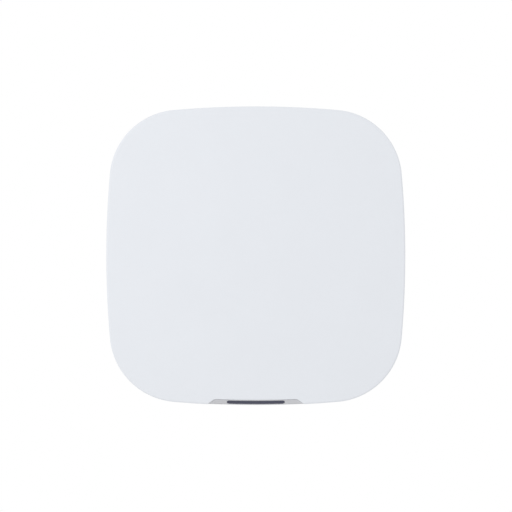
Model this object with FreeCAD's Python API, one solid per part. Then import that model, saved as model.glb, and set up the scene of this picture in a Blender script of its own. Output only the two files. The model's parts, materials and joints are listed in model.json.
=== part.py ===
import FreeCAD, Part
import math
import os
from FreeCAD import Vector

# A wall-mounted alarm control panel: a shallow pillow-shaped box that hangs on a wall bracket.
# All sizes are in millimetres. X runs to the right as seen from the room and Z runs up.
# The wall is the plane Y = 0, and the room lies towards -Y. "Depth" is the distance from the
# wall towards the room, so a point at depth d has Y = -d. The origin is the middle of the
# bracket's wall face.

# Outline, seen from the front: four gently bulging sides and four round corners.
panel_width = 163.0
side_radius = 530.0
corner_radius = 38.0

# Depths and walls of the two shells.
panel_depth = 37.0
crown_rise = 2.4
front_edge_round = 1.0
shell_wall = 2.2
parting_depth = 19.0
cover_taper = 0.9
rear_taper = 0.75
reveal = 0.35
back_round = 10.0
lip_height = 3.0
lip_wall = 1.0

# Clearances: parts that stay put, faces that nearly meet, and parts that move past each other.
seat_gap = 0.1
rest_gap = 0.2
run_gap = 0.3

# Wall bracket.
bracket_thickness = 3.0
bracket_gap = 0.4
bracket_margin = 15.0
bracket_edge_round = 0.8
window_margin = 1.5
wall_screw_spacing_x = 76.0
wall_screw_spacing_z = 56.0
wall_screw_middle_z = 16.0
wall_screw_radius = 2.2
wall_screw_head_radius = 4.2
countersink_depth = 1.8
tab_width = 26.0
tab_height = 34.0
tab_middle_z = 22.0
tab_slot = 1.2
tab_bridge = 1.6
tab_screw_z = 31.0
level_screw_z = 52.0

# Hooks that carry the panel on the bracket, and how far it lifts to come off them.
release_travel = 7.0
hook_x = 48.0
hook_top_row = 22.0
hook_low_row = -14.0
hook_width = 10.0
hook_neck = 2.2
hook_tip = 5.0
hook_tip_thickness = 2.0

# Connector bay, a pocket in the back.
bay_half_width = 48.0
bay_top = -25.0
bay_from_edge = 21.5
bay_wall = 2.0
bay_tab_reach = 6.5
bay_tab_height = 6.0
bay_tab_depth = 12.0
bay_tab_thickness = 1.6
bay_tab_from_top = 5.0
bay_post_radius = 2.9
bay_corner = 4.0
cable_way_x = 34.0
cable_way_width = 10.0
cable_way_depth = 9.0

# Circuit boards. They lie flat, with their rear faces at one depth.
board_depth = 22.0
board_thickness = 1.6
board_lift = 1.5
board_to_tray = 2.4
board_corner = 2.0
main_board_from_aerial = 10.0
main_board_right = 15.0
power_board_left = 18.0
power_board_from_aerial = 9.0
board_post_radius = 3.0
main_post_from_edge = 3.4
main_post_right = 11.0
power_post_left = 21.3
power_post_from_edge = 3.6
board_post_inset = 3.8
board_hole_radius = 1.35

# Screws: shank radius, head radius, head height.
case_screw_radius = 1.45
case_screw_head_radius = 2.7
case_screw_head_height = 1.9
case_screw_length = 16.0
board_screw_radius = 1.15
board_screw_head_radius = 2.1
board_screw_head_height = 1.3
board_screw_length = 6.0
small_screw_radius = 0.8
small_screw_head_radius = 1.5
small_screw_head_height = 0.9
small_screw_length = 3.6
recess_depth_share = 0.6

# Case screws: their places from the panel's sides, and the bosses that they join.
case_screw_from_bay = 10.0
case_screw_from_top = 31.5
head_recess_margin = 0.6
boss_radius = 4.0
boss_foot_depth = 17.0

# Locking screw at the bottom, from the bracket's lug up into the panel.
lug_half_width = 7.0
lug_thickness = 2.6
lug_reach = 10.0
lug_gap = 0.4
lock_depth = 9.0
lock_screw_radius = 1.45
lock_screw_head_radius = 2.9
lock_screw_head_height = 2.2
lock_screw_length = 10.0
lock_hole_radius = 1.75
lock_washer_radius = 3.4
lock_washer_thickness = 0.5
insert_radius = 2.3
insert_length = 5.0
insert_bore = 1.6
lock_boss_radius = 3.6
lock_boss_height = 7.0

# Status light in the notch of the bottom edge.
notch_height = 3.0
notch_foot_half = 27.4
notch_top_half = 23.2
notch_corner = 3.0
notch_back_depth = 26.5
bezel_recess = 0.2
lens_half_length = 15.8
lens_width = 2.4
lens_rise = 1.33
lens_thickness = 1.6
lens_end_flat = 0.1
guide_length = 5.0
guide_width = 1.8
chimney_wall = 1.3
chimney_end_wall = 3.5
guide_end_margin = 0.8
collar_wall = 0.6
collar_half_length = 17.3
led_count = 6
led_size = 2.0
led_height = 0.7
led_board_thickness = 1.0
led_board_width = 7.4
ear_half_span = 27.0
ear_inner_end = 14.0
ear_width = 6.0
ear_thickness = 1.4
ear_screw_x = 23.5
ear_screw_rise = 8.0
ear_boss_radius = 2.6

# Battery: two round cells side by side in a tray.
cell_radius = 9.2
cell_length = 65.0
cell_pitch = 19.0
cell_play = 0.15
cell_nub_radius = 3.0
cell_nub_length = 1.0
tray_top_gap = 10.6
tray_rim = 1.4
tray_floor = 1.4
tray_depth = 9.0
tray_half_length = 34.4
tray_end_wall = 1.6
tray_corner = 4.0
tray_ear_half = 5.5
tray_post_radius = 3.0
tray_post_x = 40.5
retainer_thickness = 1.6
retainer_half_height = 9.4
contact_thickness = 0.4
contact_size = 9.0
contact_spring_radius = 3.6
lead_radius = 0.7
lead_bend = 2.0
lead_from_post = 1.7
lead_pitch = 4.2
plug_height = 5.4

# Connectors and controls along the top wall of the bay.
jack_x = -36.0
jack_width = 16.0
jack_depth = 13.5
jack_length = 21.3
jack_mouth_width = 12.2
jack_mouth_depth = 8.6
jack_mouth_length = 15.0
inlet_x = 35.0
inlet_width = 20.0
inlet_depth = 12.0
inlet_length = 20.0
inlet_mouth_width = 16.4
inlet_mouth_depth = 8.6
inlet_mouth_length = 15.0
inlet_pin_radius = 1.2
inlet_pin_pitch = 8.6
inlet_pin_length = 10.0
sim_x = -16.5
sim_width = 17.0
sim_depth = 5.6
sim_length = 15.5
sim_slot_width = 12.8
sim_slot_height = 1.0
power_button_x = 3.2
power_button_radius = 3.2
power_button_proud = 0.9
reset_button_x = -4.2
reset_button_radius = 1.8
reset_button_proud = -0.5
button_axis_depth = 17.6
button_flange = 0.8
button_flange_thickness = 0.8
button_nub_length = 2.6
power_nub_radius = 1.4
reset_nub_radius = 1.0
switch_well = 3.6
power_switch_size = 7.0
reset_switch_size = 4.6
switch_from_wall = 2.6

# Tamper switch behind the bracket's break-off tab.
tamper_z = 12.0
tamper_travel = 1.6
tamper_tip_radius = 1.8
tamper_tip_gap = 0.25
tamper_flange_radius = 3.0
tamper_flange_depth = 7.5
tamper_flange_thickness = 1.0
tamper_stem_radius = 1.3
tamper_stem_length = 6.5
tamper_guide_wall = 1.0
tamper_bore = 2.65
tamper_ramp_width = 5.0
tamper_housing_half = 4.3
tamper_housing_top = 9.8
tamper_housing_floor = 1.5
spring_wire = 0.22
spring_turns = 7
spring_radius = 2.1

# Sounder on the inside of the bay's floor, with its holes.
sounder_x = 20.0
sounder_radius = 13.5
sounder_thickness = 4.6
sounder_rim = 1.0
sounder_rim_height = 3.0
sound_hole_radius = 0.9
sound_hole_pitch = 4.2
sound_hole_rings = 2

# Cooling slots in the rounded top of the rear housing.
vent_count = 11
vent_pitch = 6.0
vent_width = 1.8
vent_depth_from = 8.5
vent_depth_to = 15.0
low_vent_places = (14.0, 18.5, 23.0)

# Cable clamps in the bay, one over each cable way.
cable_radius = 3.0
cable_depth = 9.0
clamp_from_bottom = 7.5
clamp_width = 5.0
clamp_length = 20.0
clamp_thickness = 3.3
clamp_screw_x = 7.4
clamp_saddle_half = 4.6

# Aerials: a thin board held in slots at each side.
aerial_from_side = 11.5
aerial_thickness = 1.0
aerial_half_height = 22.0
aerial_depth_from = 6.4
aerial_depth_to = 20.4
aerial_holder_z = 17.0
aerial_holder_half = 2.5
aerial_holder_height = 5.0
coax_radius = 0.55
coax_bend = 1.5
coax_socket_radius = 1.3
coax_from_aerial = 3.9
left_coax_from_top = 14.0
left_coax_lift = 1.8
right_coax_from_edge = 6.6
right_coax_from_top = 17.0
right_coax_step = 6.0
right_coax_lift = 2.2

# Flat cable from the status light's board to the main board.
ribbon_x = -10.0
ribbon_half = 2.5
ribbon_thickness = 0.3
ribbon_depth = 24.7
ribbon_from_socket = 0.3
ribbon_slant = 3.2
socket_half = 3.5
low_socket_height = 1.5
socket_height = 2.2

# Parts on the boards: middle across, middle or end upwards, width, length and height.
processor_can_shift = 4.25
processor_can_z = -2.0
processor_can_width = 22.0
processor_can_length = 18.0
processor_can_height = 2.6
radio_can_shift = 1.0
radio_can_from_top = 1.5
radio_can_width = 19.0
radio_can_length = 10.0
radio_can_height = 2.2
can_edge_round = 0.4
module_from_edge = 21.0
module_z = 2.5
module_width = 23.0
module_length = 29.0
module_height = 2.4
small_chips_from_edge = 6.0
memory_chip_below_coax = 10.5
memory_chip_size = 7.0
clock_chip_below_memory = 8.0
clock_chip_size = 5.0
port_chip_x = -36.5
port_chip_z = -16.5
port_chip_size = 6.0
chip_height = 1.0
fuse_x = 33.0
fuse_z = -14.5
fuse_length = 10.0
fuse_width = 4.0
fuse_height = 2.6
supply_chip_x = 43.0
supply_chip_z = 2.0
supply_chip_size = 6.0
link_socket_width = 4.8
link_socket_length = 14.0
link_z = -1.0
link_inset = 0.8
transformer_from_capacitor = 13.7
transformer_z = 6.5
transformer_width = 18.0
transformer_length = 19.0
transformer_leg = 3.2
transformer_core_depth = 10.4
transformer_core_lift = 1.6
transformer_coil_depth = 13.3
transformer_gap = 0.7
capacitor_from_edge = 12.3
capacitor_pitch = 7.9
capacitor_radius = 3.6
capacitor_low = -8.0
capacitor_length = 15.0
capacitor_lift = 0.15

# Values that follow from the ones above.
case_screw = (case_screw_radius, case_screw_head_radius, case_screw_head_height)
board_screw = (board_screw_radius, board_screw_head_radius, board_screw_head_height)
small_screw = (small_screw_radius, small_screw_head_radius, small_screw_head_height)
lock_screw = (lock_screw_radius, lock_screw_head_radius, lock_screw_head_height)
half_width = panel_width / 2
edge_depth = panel_depth - crown_rise
crown_radius = (half_width ** 2 + crown_rise ** 2) / (2 * crown_rise)
back_depth = bracket_thickness + bracket_gap
inner_back = back_depth + shell_wall
board_front = board_depth + board_thickness
bay_floor = board_depth + rest_gap
bay_bottom = bay_from_edge - half_width
bay_tab_z = bay_top - bay_tab_from_top
clamp_z = bay_bottom + clamp_from_bottom
sounder_z = (bay_top + bay_bottom) / 2
aerial_x = half_width - aerial_from_side
hook_rows = (hook_top_row, hook_low_row)
main_board_left = main_board_from_aerial - aerial_x
power_board_right = aerial_x - power_board_from_aerial
main_post_columns = (main_board_left + main_post_from_edge, main_post_right)
power_post_columns = (power_post_left, power_board_right - power_post_from_edge)
module_x = main_board_right - module_from_edge
processor_can_x = (main_board_left + module_x - module_width / 2) / 2 + processor_can_shift
radio_can_x = processor_can_x + radio_can_shift
memory_chip_x = main_board_left + small_chips_from_edge
clock_chip_x = memory_chip_x
left_coax_x = memory_chip_x
right_coax_x = main_board_right - right_coax_from_edge
capacitor_x = power_board_right - capacitor_from_edge
transformer_x = capacitor_x - transformer_from_capacitor
case_screw_x = bay_half_width + bay_wall + case_screw_from_bay
case_screw_z = half_width - case_screw_from_top
case_head_seat = back_depth + case_screw_head_height + head_recess_margin
guide_half_length = lens_half_length - guide_end_margin
chimney_half_length = guide_half_length + chimney_end_wall
led_screw_x = (guide_half_length + chimney_half_length) / 2
red_lead_x = tray_post_x + tray_post_radius + lead_from_post
black_lead_x = red_lead_x + lead_pitch
tray_top = half_width - tray_top_gap
top_cell_z = tray_top - tray_rim - cell_play - cell_radius
low_cell_z = top_cell_z - cell_pitch
cells_middle_z = (top_cell_z + low_cell_z) / 2
tray_bottom = low_cell_z - cell_radius - cell_play - tray_rim
board_bottom = bay_top + bay_wall + board_lift
board_top = tray_bottom - board_to_tray
left_coax_z = board_top - left_coax_from_top
right_coax_z = board_top - right_coax_from_top
memory_chip_z = left_coax_z - memory_chip_below_coax
clock_chip_z = memory_chip_z - clock_chip_below_memory
cell_depth = inner_back + seat_gap + tray_floor + cell_play + cell_radius
cell_front = cell_depth + cell_radius
wall_slope = math.sqrt(0.5)


def at(x, depth, z):
    """A point, from its place across, its depth from the wall, and its height."""
    return Vector(x, -depth, z)


def block(x_low, x_high, depth_low, depth_high, z_low, z_high):
    """A box between two places on each axis."""
    size = (x_high - x_low, depth_high - depth_low, z_high - z_low)
    return Part.makeBox(*size, at(x_low, depth_high, z_low))


def rod_in(x, z, radius, depth_low, depth_high):
    """A cylinder along the depth."""
    return Part.makeCylinder(radius, depth_high - depth_low, at(x, depth_low, z), Vector(0, -1, 0))


def rod_up(x, depth, radius, z_low, z_high):
    """A cylinder that stands up."""
    return Part.makeCylinder(radius, z_high - z_low, at(x, depth, z_low), Vector(0, 0, 1))


def rod_across(depth, z, radius, x_low, x_high):
    """A cylinder from side to side."""
    return Part.makeCylinder(radius, x_high - x_low, at(x_low, depth, z), Vector(1, 0, 0))


def fused(shapes):
    """One solid from shapes that overlap."""
    return shapes[0].multiFuse(shapes[1:]).removeSplitter()


def soft_block(x_low, x_high, depth_low, depth_high, z_low, z_high, radius, along="depth"):
    """A box whose four edges along one axis are rounded."""
    box = block(x_low, x_high, depth_low, depth_high, z_low, z_high)
    axis = {"across": 0, "depth": 1, "up": 2}[along]
    edges = []
    for edge in box.Edges:
        start, end = (v.Point for v in edge.Vertexes)
        if abs((end - start)[axis]) > (end - start).Length * 0.99:
            edges.append(edge)
    return box.makeFillet(radius, edges)


def outline(inset, depth):
    """The panel's outline moved in by inset, as a closed wire at a depth."""
    shift = side_radius - half_width
    reach = side_radius - corner_radius
    corner = (math.sqrt(2 * reach ** 2 - shift ** 2) - shift) / 2
    turn = math.atan2(corner, corner + shift)

    def spot(centre_x, centre_z, radius, angle, quarter):
        x = centre_x + radius * math.sin(angle)
        z = centre_z + radius * math.cos(angle)
        return at(x * math.cos(quarter) + z * math.sin(quarter), depth,
                  z * math.cos(quarter) - x * math.sin(quarter))

    edges = []
    for side in range(4):
        quarter = side * math.pi / 2
        big, small = side_radius - inset, corner_radius - inset
        flat = [spot(0, -shift, big, angle, quarter) for angle in (-turn, 0, turn)]
        bend = [spot(corner, corner, small, angle, quarter)
                for angle in (turn, math.pi / 4, math.pi / 2 - turn)]
        edges.append(Part.Arc(*flat).toShape())
        edges.append(Part.Arc(*bend).toShape())
    return Part.Wire(edges)


def slab(inset_low, depth_low, inset_high, depth_high):
    """A solid whose outline goes from one inset to another between two depths."""
    return Part.makeLoft([outline(inset_low, depth_low), outline(inset_high, depth_high)], True, True)


def cover_inset(depth):
    """How far the cover's side wall has drawn in at a depth, from none at the widest place."""
    widest = edge_depth - front_edge_round
    return cover_taper * (widest - depth) / (widest - parting_depth)


def crown_ball(inset):
    """The large ball that gives the front its crown."""
    return Part.makeSphere(crown_radius - inset, at(0, panel_depth - crown_radius, 0))


def front_depth(x, z, inset):
    """Depth of the crowned front, or of a surface inset behind it, above a place."""
    return panel_depth - crown_radius + math.sqrt((crown_radius - inset) ** 2 - x ** 2 - z ** 2)


def screw_along(sizes, length, x, z, head_depth, points_to_room):
    """A screw along the depth, its head's bearing face at head_depth, with a cross recess."""
    shank_radius, head_radius, head_height = sizes
    way = -1 if points_to_room else 1
    shank_end = head_depth - way * length
    head_top = head_depth + way * head_height
    shank = rod_in(x, z, shank_radius, min(head_depth, shank_end), max(head_depth, shank_end))
    head = rod_in(x, z, head_radius, min(head_depth, head_top), max(head_depth, head_top))
    recess = head_height * recess_depth_share
    low, high = sorted((head_top - way * recess, head_top))
    long_half, short_half = head_radius * 0.6, head_radius * 0.15
    cross = fused([block(x - long_half, x + long_half, low, high, z - short_half, z + short_half),
                   block(x - short_half, x + short_half, low, high, z - long_half, z + long_half)])
    return fused([shank, head]).cut(cross)


def mirror_places(x, z):
    """The four places at plus and minus x and z."""
    return [(sx * x, sz * z) for sx in (-1, 1) for sz in (-1, 1)]


# Status light: the pieces lie along the bottom side's arc, on a facet at 45 degrees.

arc_axis_z = side_radius - half_width


def along_edge(section, half_length):
    """Sweeps a section, given as (depth, rise from the bottom side), along the bottom side's arc."""
    points = [at(0, depth, rise - half_width) for depth, rise in section]
    face = Part.Face(Part.makePolygon(points + points[:1]))
    half_turn = math.degrees(half_length / side_radius)
    start = face.rotated(at(0, 0, arc_axis_z), Vector(0, 1, 0), -half_turn)
    return start.revolve(at(0, 0, arc_axis_z), Vector(0, 1, 0), 2 * half_turn)


def facet_point(rise, inward):
    """(depth, rise) of a point on the facet, moved inward along its normal."""
    facet_foot_depth = edge_depth - notch_height
    return (facet_foot_depth + rise - wall_slope * inward, rise + wall_slope * inward)


def facet_strip(width, half_length, inward_low, inward_high, round_ends):
    """A strip on the facet, centred on the lens, between two distances inward from it."""
    reach = wall_slope * width / 2
    section = [facet_point(lens_rise - reach, inward_low), facet_point(lens_rise + reach, inward_low),
               facet_point(lens_rise + reach, inward_high), facet_point(lens_rise - reach, inward_high)]
    strip = along_edge(section, half_length)
    if not round_ends:
        return strip
    corners = []
    for edge in strip.Edges:
        run = edge.Vertexes[-1].Point - edge.Vertexes[0].Point
        if run.y * run.z > 0.4 * (inward_high - inward_low) ** 2:
            corners.append(edge)
    return strip.makeFillet(width / 2 - lens_end_flat, corners)


def notch_shape(shrink, depth_low, depth_high):
    """The notch as seen from the front, as a prism between two depths. Its ends slant, and its top
    follows the bottom side's arc."""
    slant = (notch_foot_half - notch_top_half) / notch_height
    foot = notch_foot_half - shrink
    beyond = 3.0
    low_half = foot + slant * beyond
    high_half = foot - slant * (notch_height + beyond)
    low_z, high_z = -half_width - beyond, notch_height + beyond - half_width
    points = [(-low_half, low_z), (-high_half, high_z), (high_half, high_z), (low_half, low_z)]
    wire = Part.makePolygon([at(x, depth_low, z) for x, z in points + points[:1]])
    prism = Part.Face(wire).extrude(Vector(0, depth_low - depth_high, 0))
    prism = prism.common(notch_band(notch_height - shrink, depth_low, depth_high))
    corners = [e for e in prism.Edges
               if all(v.Point.z > notch_height / 2 - half_width for v in e.Vertexes)
               and abs(e.Vertexes[0].Point.y - e.Vertexes[-1].Point.y) > depth_high - depth_low - 0.01]
    return prism.makeFillet(notch_corner, corners)


def notch_band(rise_high, depth_low, depth_high):
    """All that lies below a rise from the bottom side's arc, between two depths."""
    below = 3.0
    section = [(depth_low, -below), (depth_high, -below), (depth_high, rise_high), (depth_low, rise_high)]
    return along_edge(section, notch_foot_half + 8.0)


def ear_places():
    """Where the bezel's two ears are screwed to the cover."""
    return [(way * ear_screw_x, ear_screw_rise - half_width) for way in (-1, 1)]


def ear_depth():
    """Depth of the ears' face against the cover's bosses."""
    return front_depth(ear_screw_x, ear_screw_rise - half_width, shell_wall) - 4.2


def chimney_width():
    return guide_width + 2 * (chimney_wall + seat_gap)


def chimney_parts(extra):
    """The bezel's collar around the lens and its chimney around the guide, grown by extra."""
    collar = facet_strip(lens_width + 2 * (seat_gap + collar_wall + extra), collar_half_length + extra,
                         0.8 - extra, lens_thickness + 0.8, False)
    chimney = facet_strip(chimney_width() + 2 * extra, chimney_half_length + extra,
                          lens_thickness + 0.5 - extra, led_face(), False)
    return [collar, chimney]


def make_front_cover():
    beyond = panel_depth + 1.0
    skin = slab(cover_inset(parting_depth), parting_depth, cover_inset(beyond), beyond)
    skin = skin.common(crown_ball(0))
    rim = [e for e in skin.Edges if all(v.Point.y < -(edge_depth - 3.0) for v in e.Vertexes)]
    body = skin.makeFillet(front_edge_round, rim)
    start = parting_depth - 1.0
    hollow = slab(cover_inset(start) + shell_wall, start, cover_inset(beyond) + shell_wall, beyond)
    cover = body.cut(hollow.common(crown_ball(shell_wall)))
    bosses = [rod_in(x, z, boss_radius, boss_foot_depth, panel_depth)
              for x, z in mirror_places(case_screw_x, case_screw_z)]
    bosses += [rod_in(x, z, ear_boss_radius, ear_depth(), panel_depth) for x, z in ear_places()]
    inside = crown_ball(shell_wall / 2)
    cover = fused([cover] + [boss.common(inside) for boss in bosses])
    shank = case_screw[0] + seat_gap / 2
    for x, z in mirror_places(case_screw_x, case_screw_z):
        cover = cover.cut(rod_in(x, z, shank, boss_foot_depth, boss_foot_depth + 14.0))
    for x, z in ear_places():
        cover = cover.cut(rod_in(x, z, small_screw[0] + seat_gap / 2, ear_depth(), ear_depth() + 3.4))
    gap = notch_shape(0, notch_back_depth, beyond)
    return cover.cut(gap).cut(fused(chimney_parts(rest_gap)))


def make_bezel():
    front = panel_depth + 3.0
    bar_top = notch_height - seat_gap
    bar = notch_shape(seat_gap, notch_back_depth + seat_gap, front)
    low_corner = facet_point(0, bezel_recess)
    section = [(notch_back_depth + seat_gap, seat_gap + cover_inset(notch_back_depth)),
               (low_corner[0] - 0.4, seat_gap + cover_inset(low_corner[0])),
               low_corner, facet_point(bar_top, bezel_recess),
               (notch_back_depth + seat_gap, bar_top)]
    bar = bar.common(along_edge(section, notch_foot_half + 8.0))
    ear_front = ear_depth()
    low, high = ear_screw_rise - half_width - ear_width / 2, ear_screw_rise - half_width + ear_width / 2
    ear_back = ear_front - ear_thickness
    ears = [block(-ear_half_span, -ear_inner_end, ear_back, ear_front, low, high),
            block(ear_inner_end, ear_half_span, ear_back, ear_front, low, high)]
    bezel = fused([bar] + chimney_parts(0) + ears)
    bezel = bezel.cut(facet_strip(lens_width + 2 * seat_gap, lens_half_length + seat_gap, -1.0,
                                  lens_thickness + bezel_recess, True))
    bezel = bezel.cut(facet_strip(guide_width + 2 * seat_gap, guide_half_length + seat_gap, 0,
                                  led_face() + 1.0, False))
    bezel = bezel.cut(tilted(-half_width, half_width, -led_board_width, led_board_width,
                             led_face(), led_face() + guide_length))
    for x, z in ear_places():
        bezel = bezel.cut(rod_in(x, z, small_screw[0] + rest_gap, 0, front))
    for way in (-1, 1):
        bezel = bezel.cut(tilted_rod(way * led_screw_x, small_screw[0] + seat_gap / 2,
                                     led_face() - 3.0, led_face() + 1.0))
    return bezel


def make_lens():
    return facet_strip(lens_width, lens_half_length, bezel_recess - 0.1,
                       lens_thickness + bezel_recess - seat_gap, True)


def guide_start():
    return lens_thickness + bezel_recess


def make_light_guide():
    return facet_strip(guide_width, guide_half_length, guide_start(),
                       led_face() - led_height - rest_gap, False)


def led_face():
    """Distance inward of the light board's face."""
    return lens_thickness + rest_gap + guide_length


def tilted(x_low, x_high, along_low, along_high, inward_low, inward_high):
    """A straight box lined up with the facet: across, along the facet from the lens, and inward."""
    corners = [facet_point(lens_rise + wall_slope * along, inward) for along, inward in
               ((along_low, inward_low), (along_high, inward_low),
                (along_high, inward_high), (along_low, inward_high))]
    points = [at(x_low, depth, rise - half_width) for depth, rise in corners]
    return Part.Face(Part.makePolygon(points + points[:1])).extrude(Vector(x_high - x_low, 0, 0))


def tilted_rod(x, radius, inward_low, inward_high):
    """A cylinder across the facet, level with the middle of the lens."""
    depth, rise = facet_point(lens_rise, inward_low)
    return Part.makeCylinder(radius, inward_high - inward_low, at(x, depth, rise - half_width),
                             Vector(0, 1, 1))


def make_led_board():
    half = led_board_width / 2
    back = led_face() + led_board_thickness
    board = tilted(-chimney_half_length, chimney_half_length, -half, half, led_face(), back)
    for way in (-1, 1):
        hole = tilted_rod(way * led_screw_x, small_screw[0] + rest_gap, led_face() - 1, back + 1)
        board = board.cut(hole)
    return board


def led_places():
    pitch = 2 * (lens_half_length - 2.0) / led_count
    return [(i - (led_count - 1) / 2) * pitch for i in range(led_count)]


def make_leds():
    half = led_size / 2 * 0.8
    return Part.makeCompound([tilted(x - led_size / 2, x + led_size / 2, -half, half,
                                     led_face() - led_height, led_face()) for x in led_places()])


def make_bezel_screws():
    screws = [screw_along(small_screw, small_screw_length + ear_thickness - 0.6, x, z,
                          ear_depth() - ear_thickness, True) for x, z in ear_places()]
    back = led_face() + led_board_thickness
    shank_radius, head_radius, head_height = small_screw
    for way in (-1, 1):
        x = way * led_screw_x
        shank = tilted_rod(x, shank_radius, back - small_screw_length, back)
        head = tilted_rod(x, head_radius, back, back + head_height)
        slot = tilted(x - head_radius, x + head_radius, -0.2, 0.2, back + head_height * 0.5,
                      back + head_height + 1)
        screws.append(fused([shank, head]).cut(slot))
    return Part.makeCompound(screws)


def make_ribbon():
    """The flat cable and the sockets at its two ends, one solid each."""
    back = led_face() + led_board_thickness
    low_socket = tilted(ribbon_x - socket_half, ribbon_x + socket_half, -1.6, 1.6, back,
                        back + low_socket_height)
    foot = board_bottom + 0.3
    high_socket = block(ribbon_x - socket_half, ribbon_x + socket_half, board_front,
                        board_front + socket_height, foot, foot + 4.5)
    start_depth, start_rise = facet_point(lens_rise, back + low_socket_height + ribbon_from_socket)
    start_z = start_rise - half_width
    path = [(start_z, start_depth), (start_z + ribbon_slant, ribbon_depth), (foot - 0.1, ribbon_depth)]
    low = [at(ribbon_x - ribbon_half, depth, z) for z, depth in path]
    high = [at(ribbon_x - ribbon_half, depth + ribbon_thickness, z) for z, depth in reversed(path)]
    face = Part.Face(Part.makePolygon(low + high + low[:1]))
    strip = face.extrude(Vector(2 * ribbon_half, 0, 0))
    return Part.makeCompound([low_socket, high_socket]), strip


# Wall bracket and its locking screw.


def tamper_ramp():
    """The groove that lets the plunger out as the panel is lifted, cut in the break-off tab."""
    foot = tamper_z - tamper_tip_radius
    deep = bracket_thickness - tamper_travel
    end = tamper_z + release_travel + tamper_tip_radius + 0.5
    side = [(foot, bracket_thickness), (foot + release_travel, deep), (end, deep),
            (end, bracket_thickness + 1), (foot, bracket_thickness + 1)]
    points = [at(-tamper_ramp_width / 2, depth, z) for z, depth in side]
    return Part.Face(Part.makePolygon(points + points[:1])).extrude(Vector(tamper_ramp_width, 0, 0))


def countersunk(x, z):
    """A wall-screw hole with a countersink towards the room."""
    hole = rod_in(x, z, wall_screw_radius, -1, bracket_thickness + 1)
    cone = Part.makeCone(wall_screw_radius, wall_screw_head_radius, countersink_depth,
                         at(x, bracket_thickness - countersink_depth, z), Vector(0, -1, 0))
    rim = rod_in(x, z, wall_screw_head_radius, bracket_thickness, bracket_thickness + 1)
    return fused([hole, cone, rim])


def tab_gap():
    """The thin slot around the break-off tab, left open except for four bridges."""
    half_x, half_z = tab_width / 2, tab_height / 2
    low, high = tab_middle_z - half_z, tab_middle_z + half_z
    around = soft_block(-half_x - tab_slot, half_x + tab_slot, -1, bracket_thickness + 1,
                        low - tab_slot, high + tab_slot, 3.0)
    inner = soft_block(-half_x, half_x, -2, bracket_thickness + 2, low, high, 2.0)
    ring = around.cut(inner)
    half = tab_bridge / 2
    across = block(-half_x - 4, half_x + 4, -2, bracket_thickness + 2,
                   tab_middle_z - half, tab_middle_z + half)
    upright = block(-half, half, -2, bracket_thickness + 2, low - 4, high + 4)
    return ring.cut(across.fuse(upright))


def make_bracket():
    plate = slab(bracket_margin, 0, bracket_margin, bracket_thickness)
    front = [e for e in plate.Edges if all(abs(v.Point.y + bracket_thickness) < 0.001 for v in e.Vertexes)]
    plate = plate.makeChamfer(bracket_edge_round, front)
    parts = [plate]
    neck_end = inner_back + run_gap
    tip_end = neck_end + hook_tip_thickness
    half = hook_width / 2
    for side in (-1, 1):
        x = side * hook_x
        for row in hook_rows:
            parts.append(block(x - half, x + half, bracket_thickness - 1, tip_end, row, row + hook_neck))
            tip = block(x - half, x + half, neck_end, tip_end, row, row + hook_neck + hook_tip)
            top = [e for e in tip.Edges if all(abs(v.Point.z - row - hook_neck - hook_tip) < 0.001
                                               for v in e.Vertexes)
                   and abs(e.Vertexes[0].Point.y - e.Vertexes[1].Point.y) < 0.001]
            parts.append(tip.makeChamfer(0.7, top))
    lug_top = bay_bottom - bay_wall - lug_gap
    parts.append(block(-lug_half_width, lug_half_width, 0, bracket_thickness + lug_reach,
                       lug_top - lug_thickness, lug_top))
    bracket = fused(parts)
    margin = window_margin
    bracket = bracket.cut(soft_block(-bay_half_width + margin, bay_half_width - margin, -1,
                                     bracket_thickness + 1, bay_bottom + margin, bay_top - margin, 3.0))
    for sx in (-1, 1):
        for sz in (-1, 1):
            bracket = bracket.cut(countersunk(sx * wall_screw_spacing_x / 2,
                                              wall_screw_middle_z + sz * wall_screw_spacing_z / 2))
    for z in (tab_screw_z, level_screw_z):
        bracket = bracket.cut(countersunk(0, z))
    bracket = bracket.cut(tab_gap()).cut(tamper_ramp())
    return bracket.cut(rod_up(0, lock_depth, lock_hole_radius, lug_top - lug_thickness - 1, lug_top + 1))


def lug_foot():
    return bay_bottom - bay_wall - lug_gap - lug_thickness


def make_locking_washer():
    top = lug_foot()
    ring = rod_up(0, lock_depth, lock_washer_radius, top - lock_washer_thickness, top)
    return ring.cut(rod_up(0, lock_depth, lock_screw[0] + 0.2, top - 2, top + 1))


def make_locking_screw():
    shank_radius, head_radius, head_height = lock_screw
    seat = lug_foot() - lock_washer_thickness
    shank = rod_up(0, lock_depth, shank_radius, seat - 0.5, seat + lock_screw_length - 0.5)
    tip = Part.makeCone(shank_radius, shank_radius - 0.5, 0.5,
                        at(0, lock_depth, seat + lock_screw_length - 0.5), Vector(0, 0, 1))
    head = rod_up(0, lock_depth, head_radius, seat - head_height, seat)
    low, high = seat - head_height - 1, seat - head_height * 0.4
    long_half, short_half = head_radius * 0.6, head_radius * 0.15
    across = block(-long_half, long_half, lock_depth - short_half, lock_depth + short_half, low, high)
    deep = block(-short_half, short_half, lock_depth - long_half, lock_depth + long_half, low, high)
    cross = fused([across, deep])
    return fused([shank, tip, head]).cut(cross)


def make_locking_insert():
    low = bay_bottom - bay_wall
    sleeve = rod_up(0, lock_depth, insert_radius, low, low + insert_length)
    return sleeve.cut(rod_up(0, lock_depth, insert_bore, low - 1, low + insert_length + 1))


# Rear housing.


def hook_slot(x, row):
    """The opening in the back that takes one hook, with room for the lift."""
    low = row - release_travel - run_gap
    high = row + hook_neck + rest_gap
    half = hook_width / 2 + run_gap
    return block(x - half, x + half, back_depth - 1, inner_back + 1, low, high)


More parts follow.
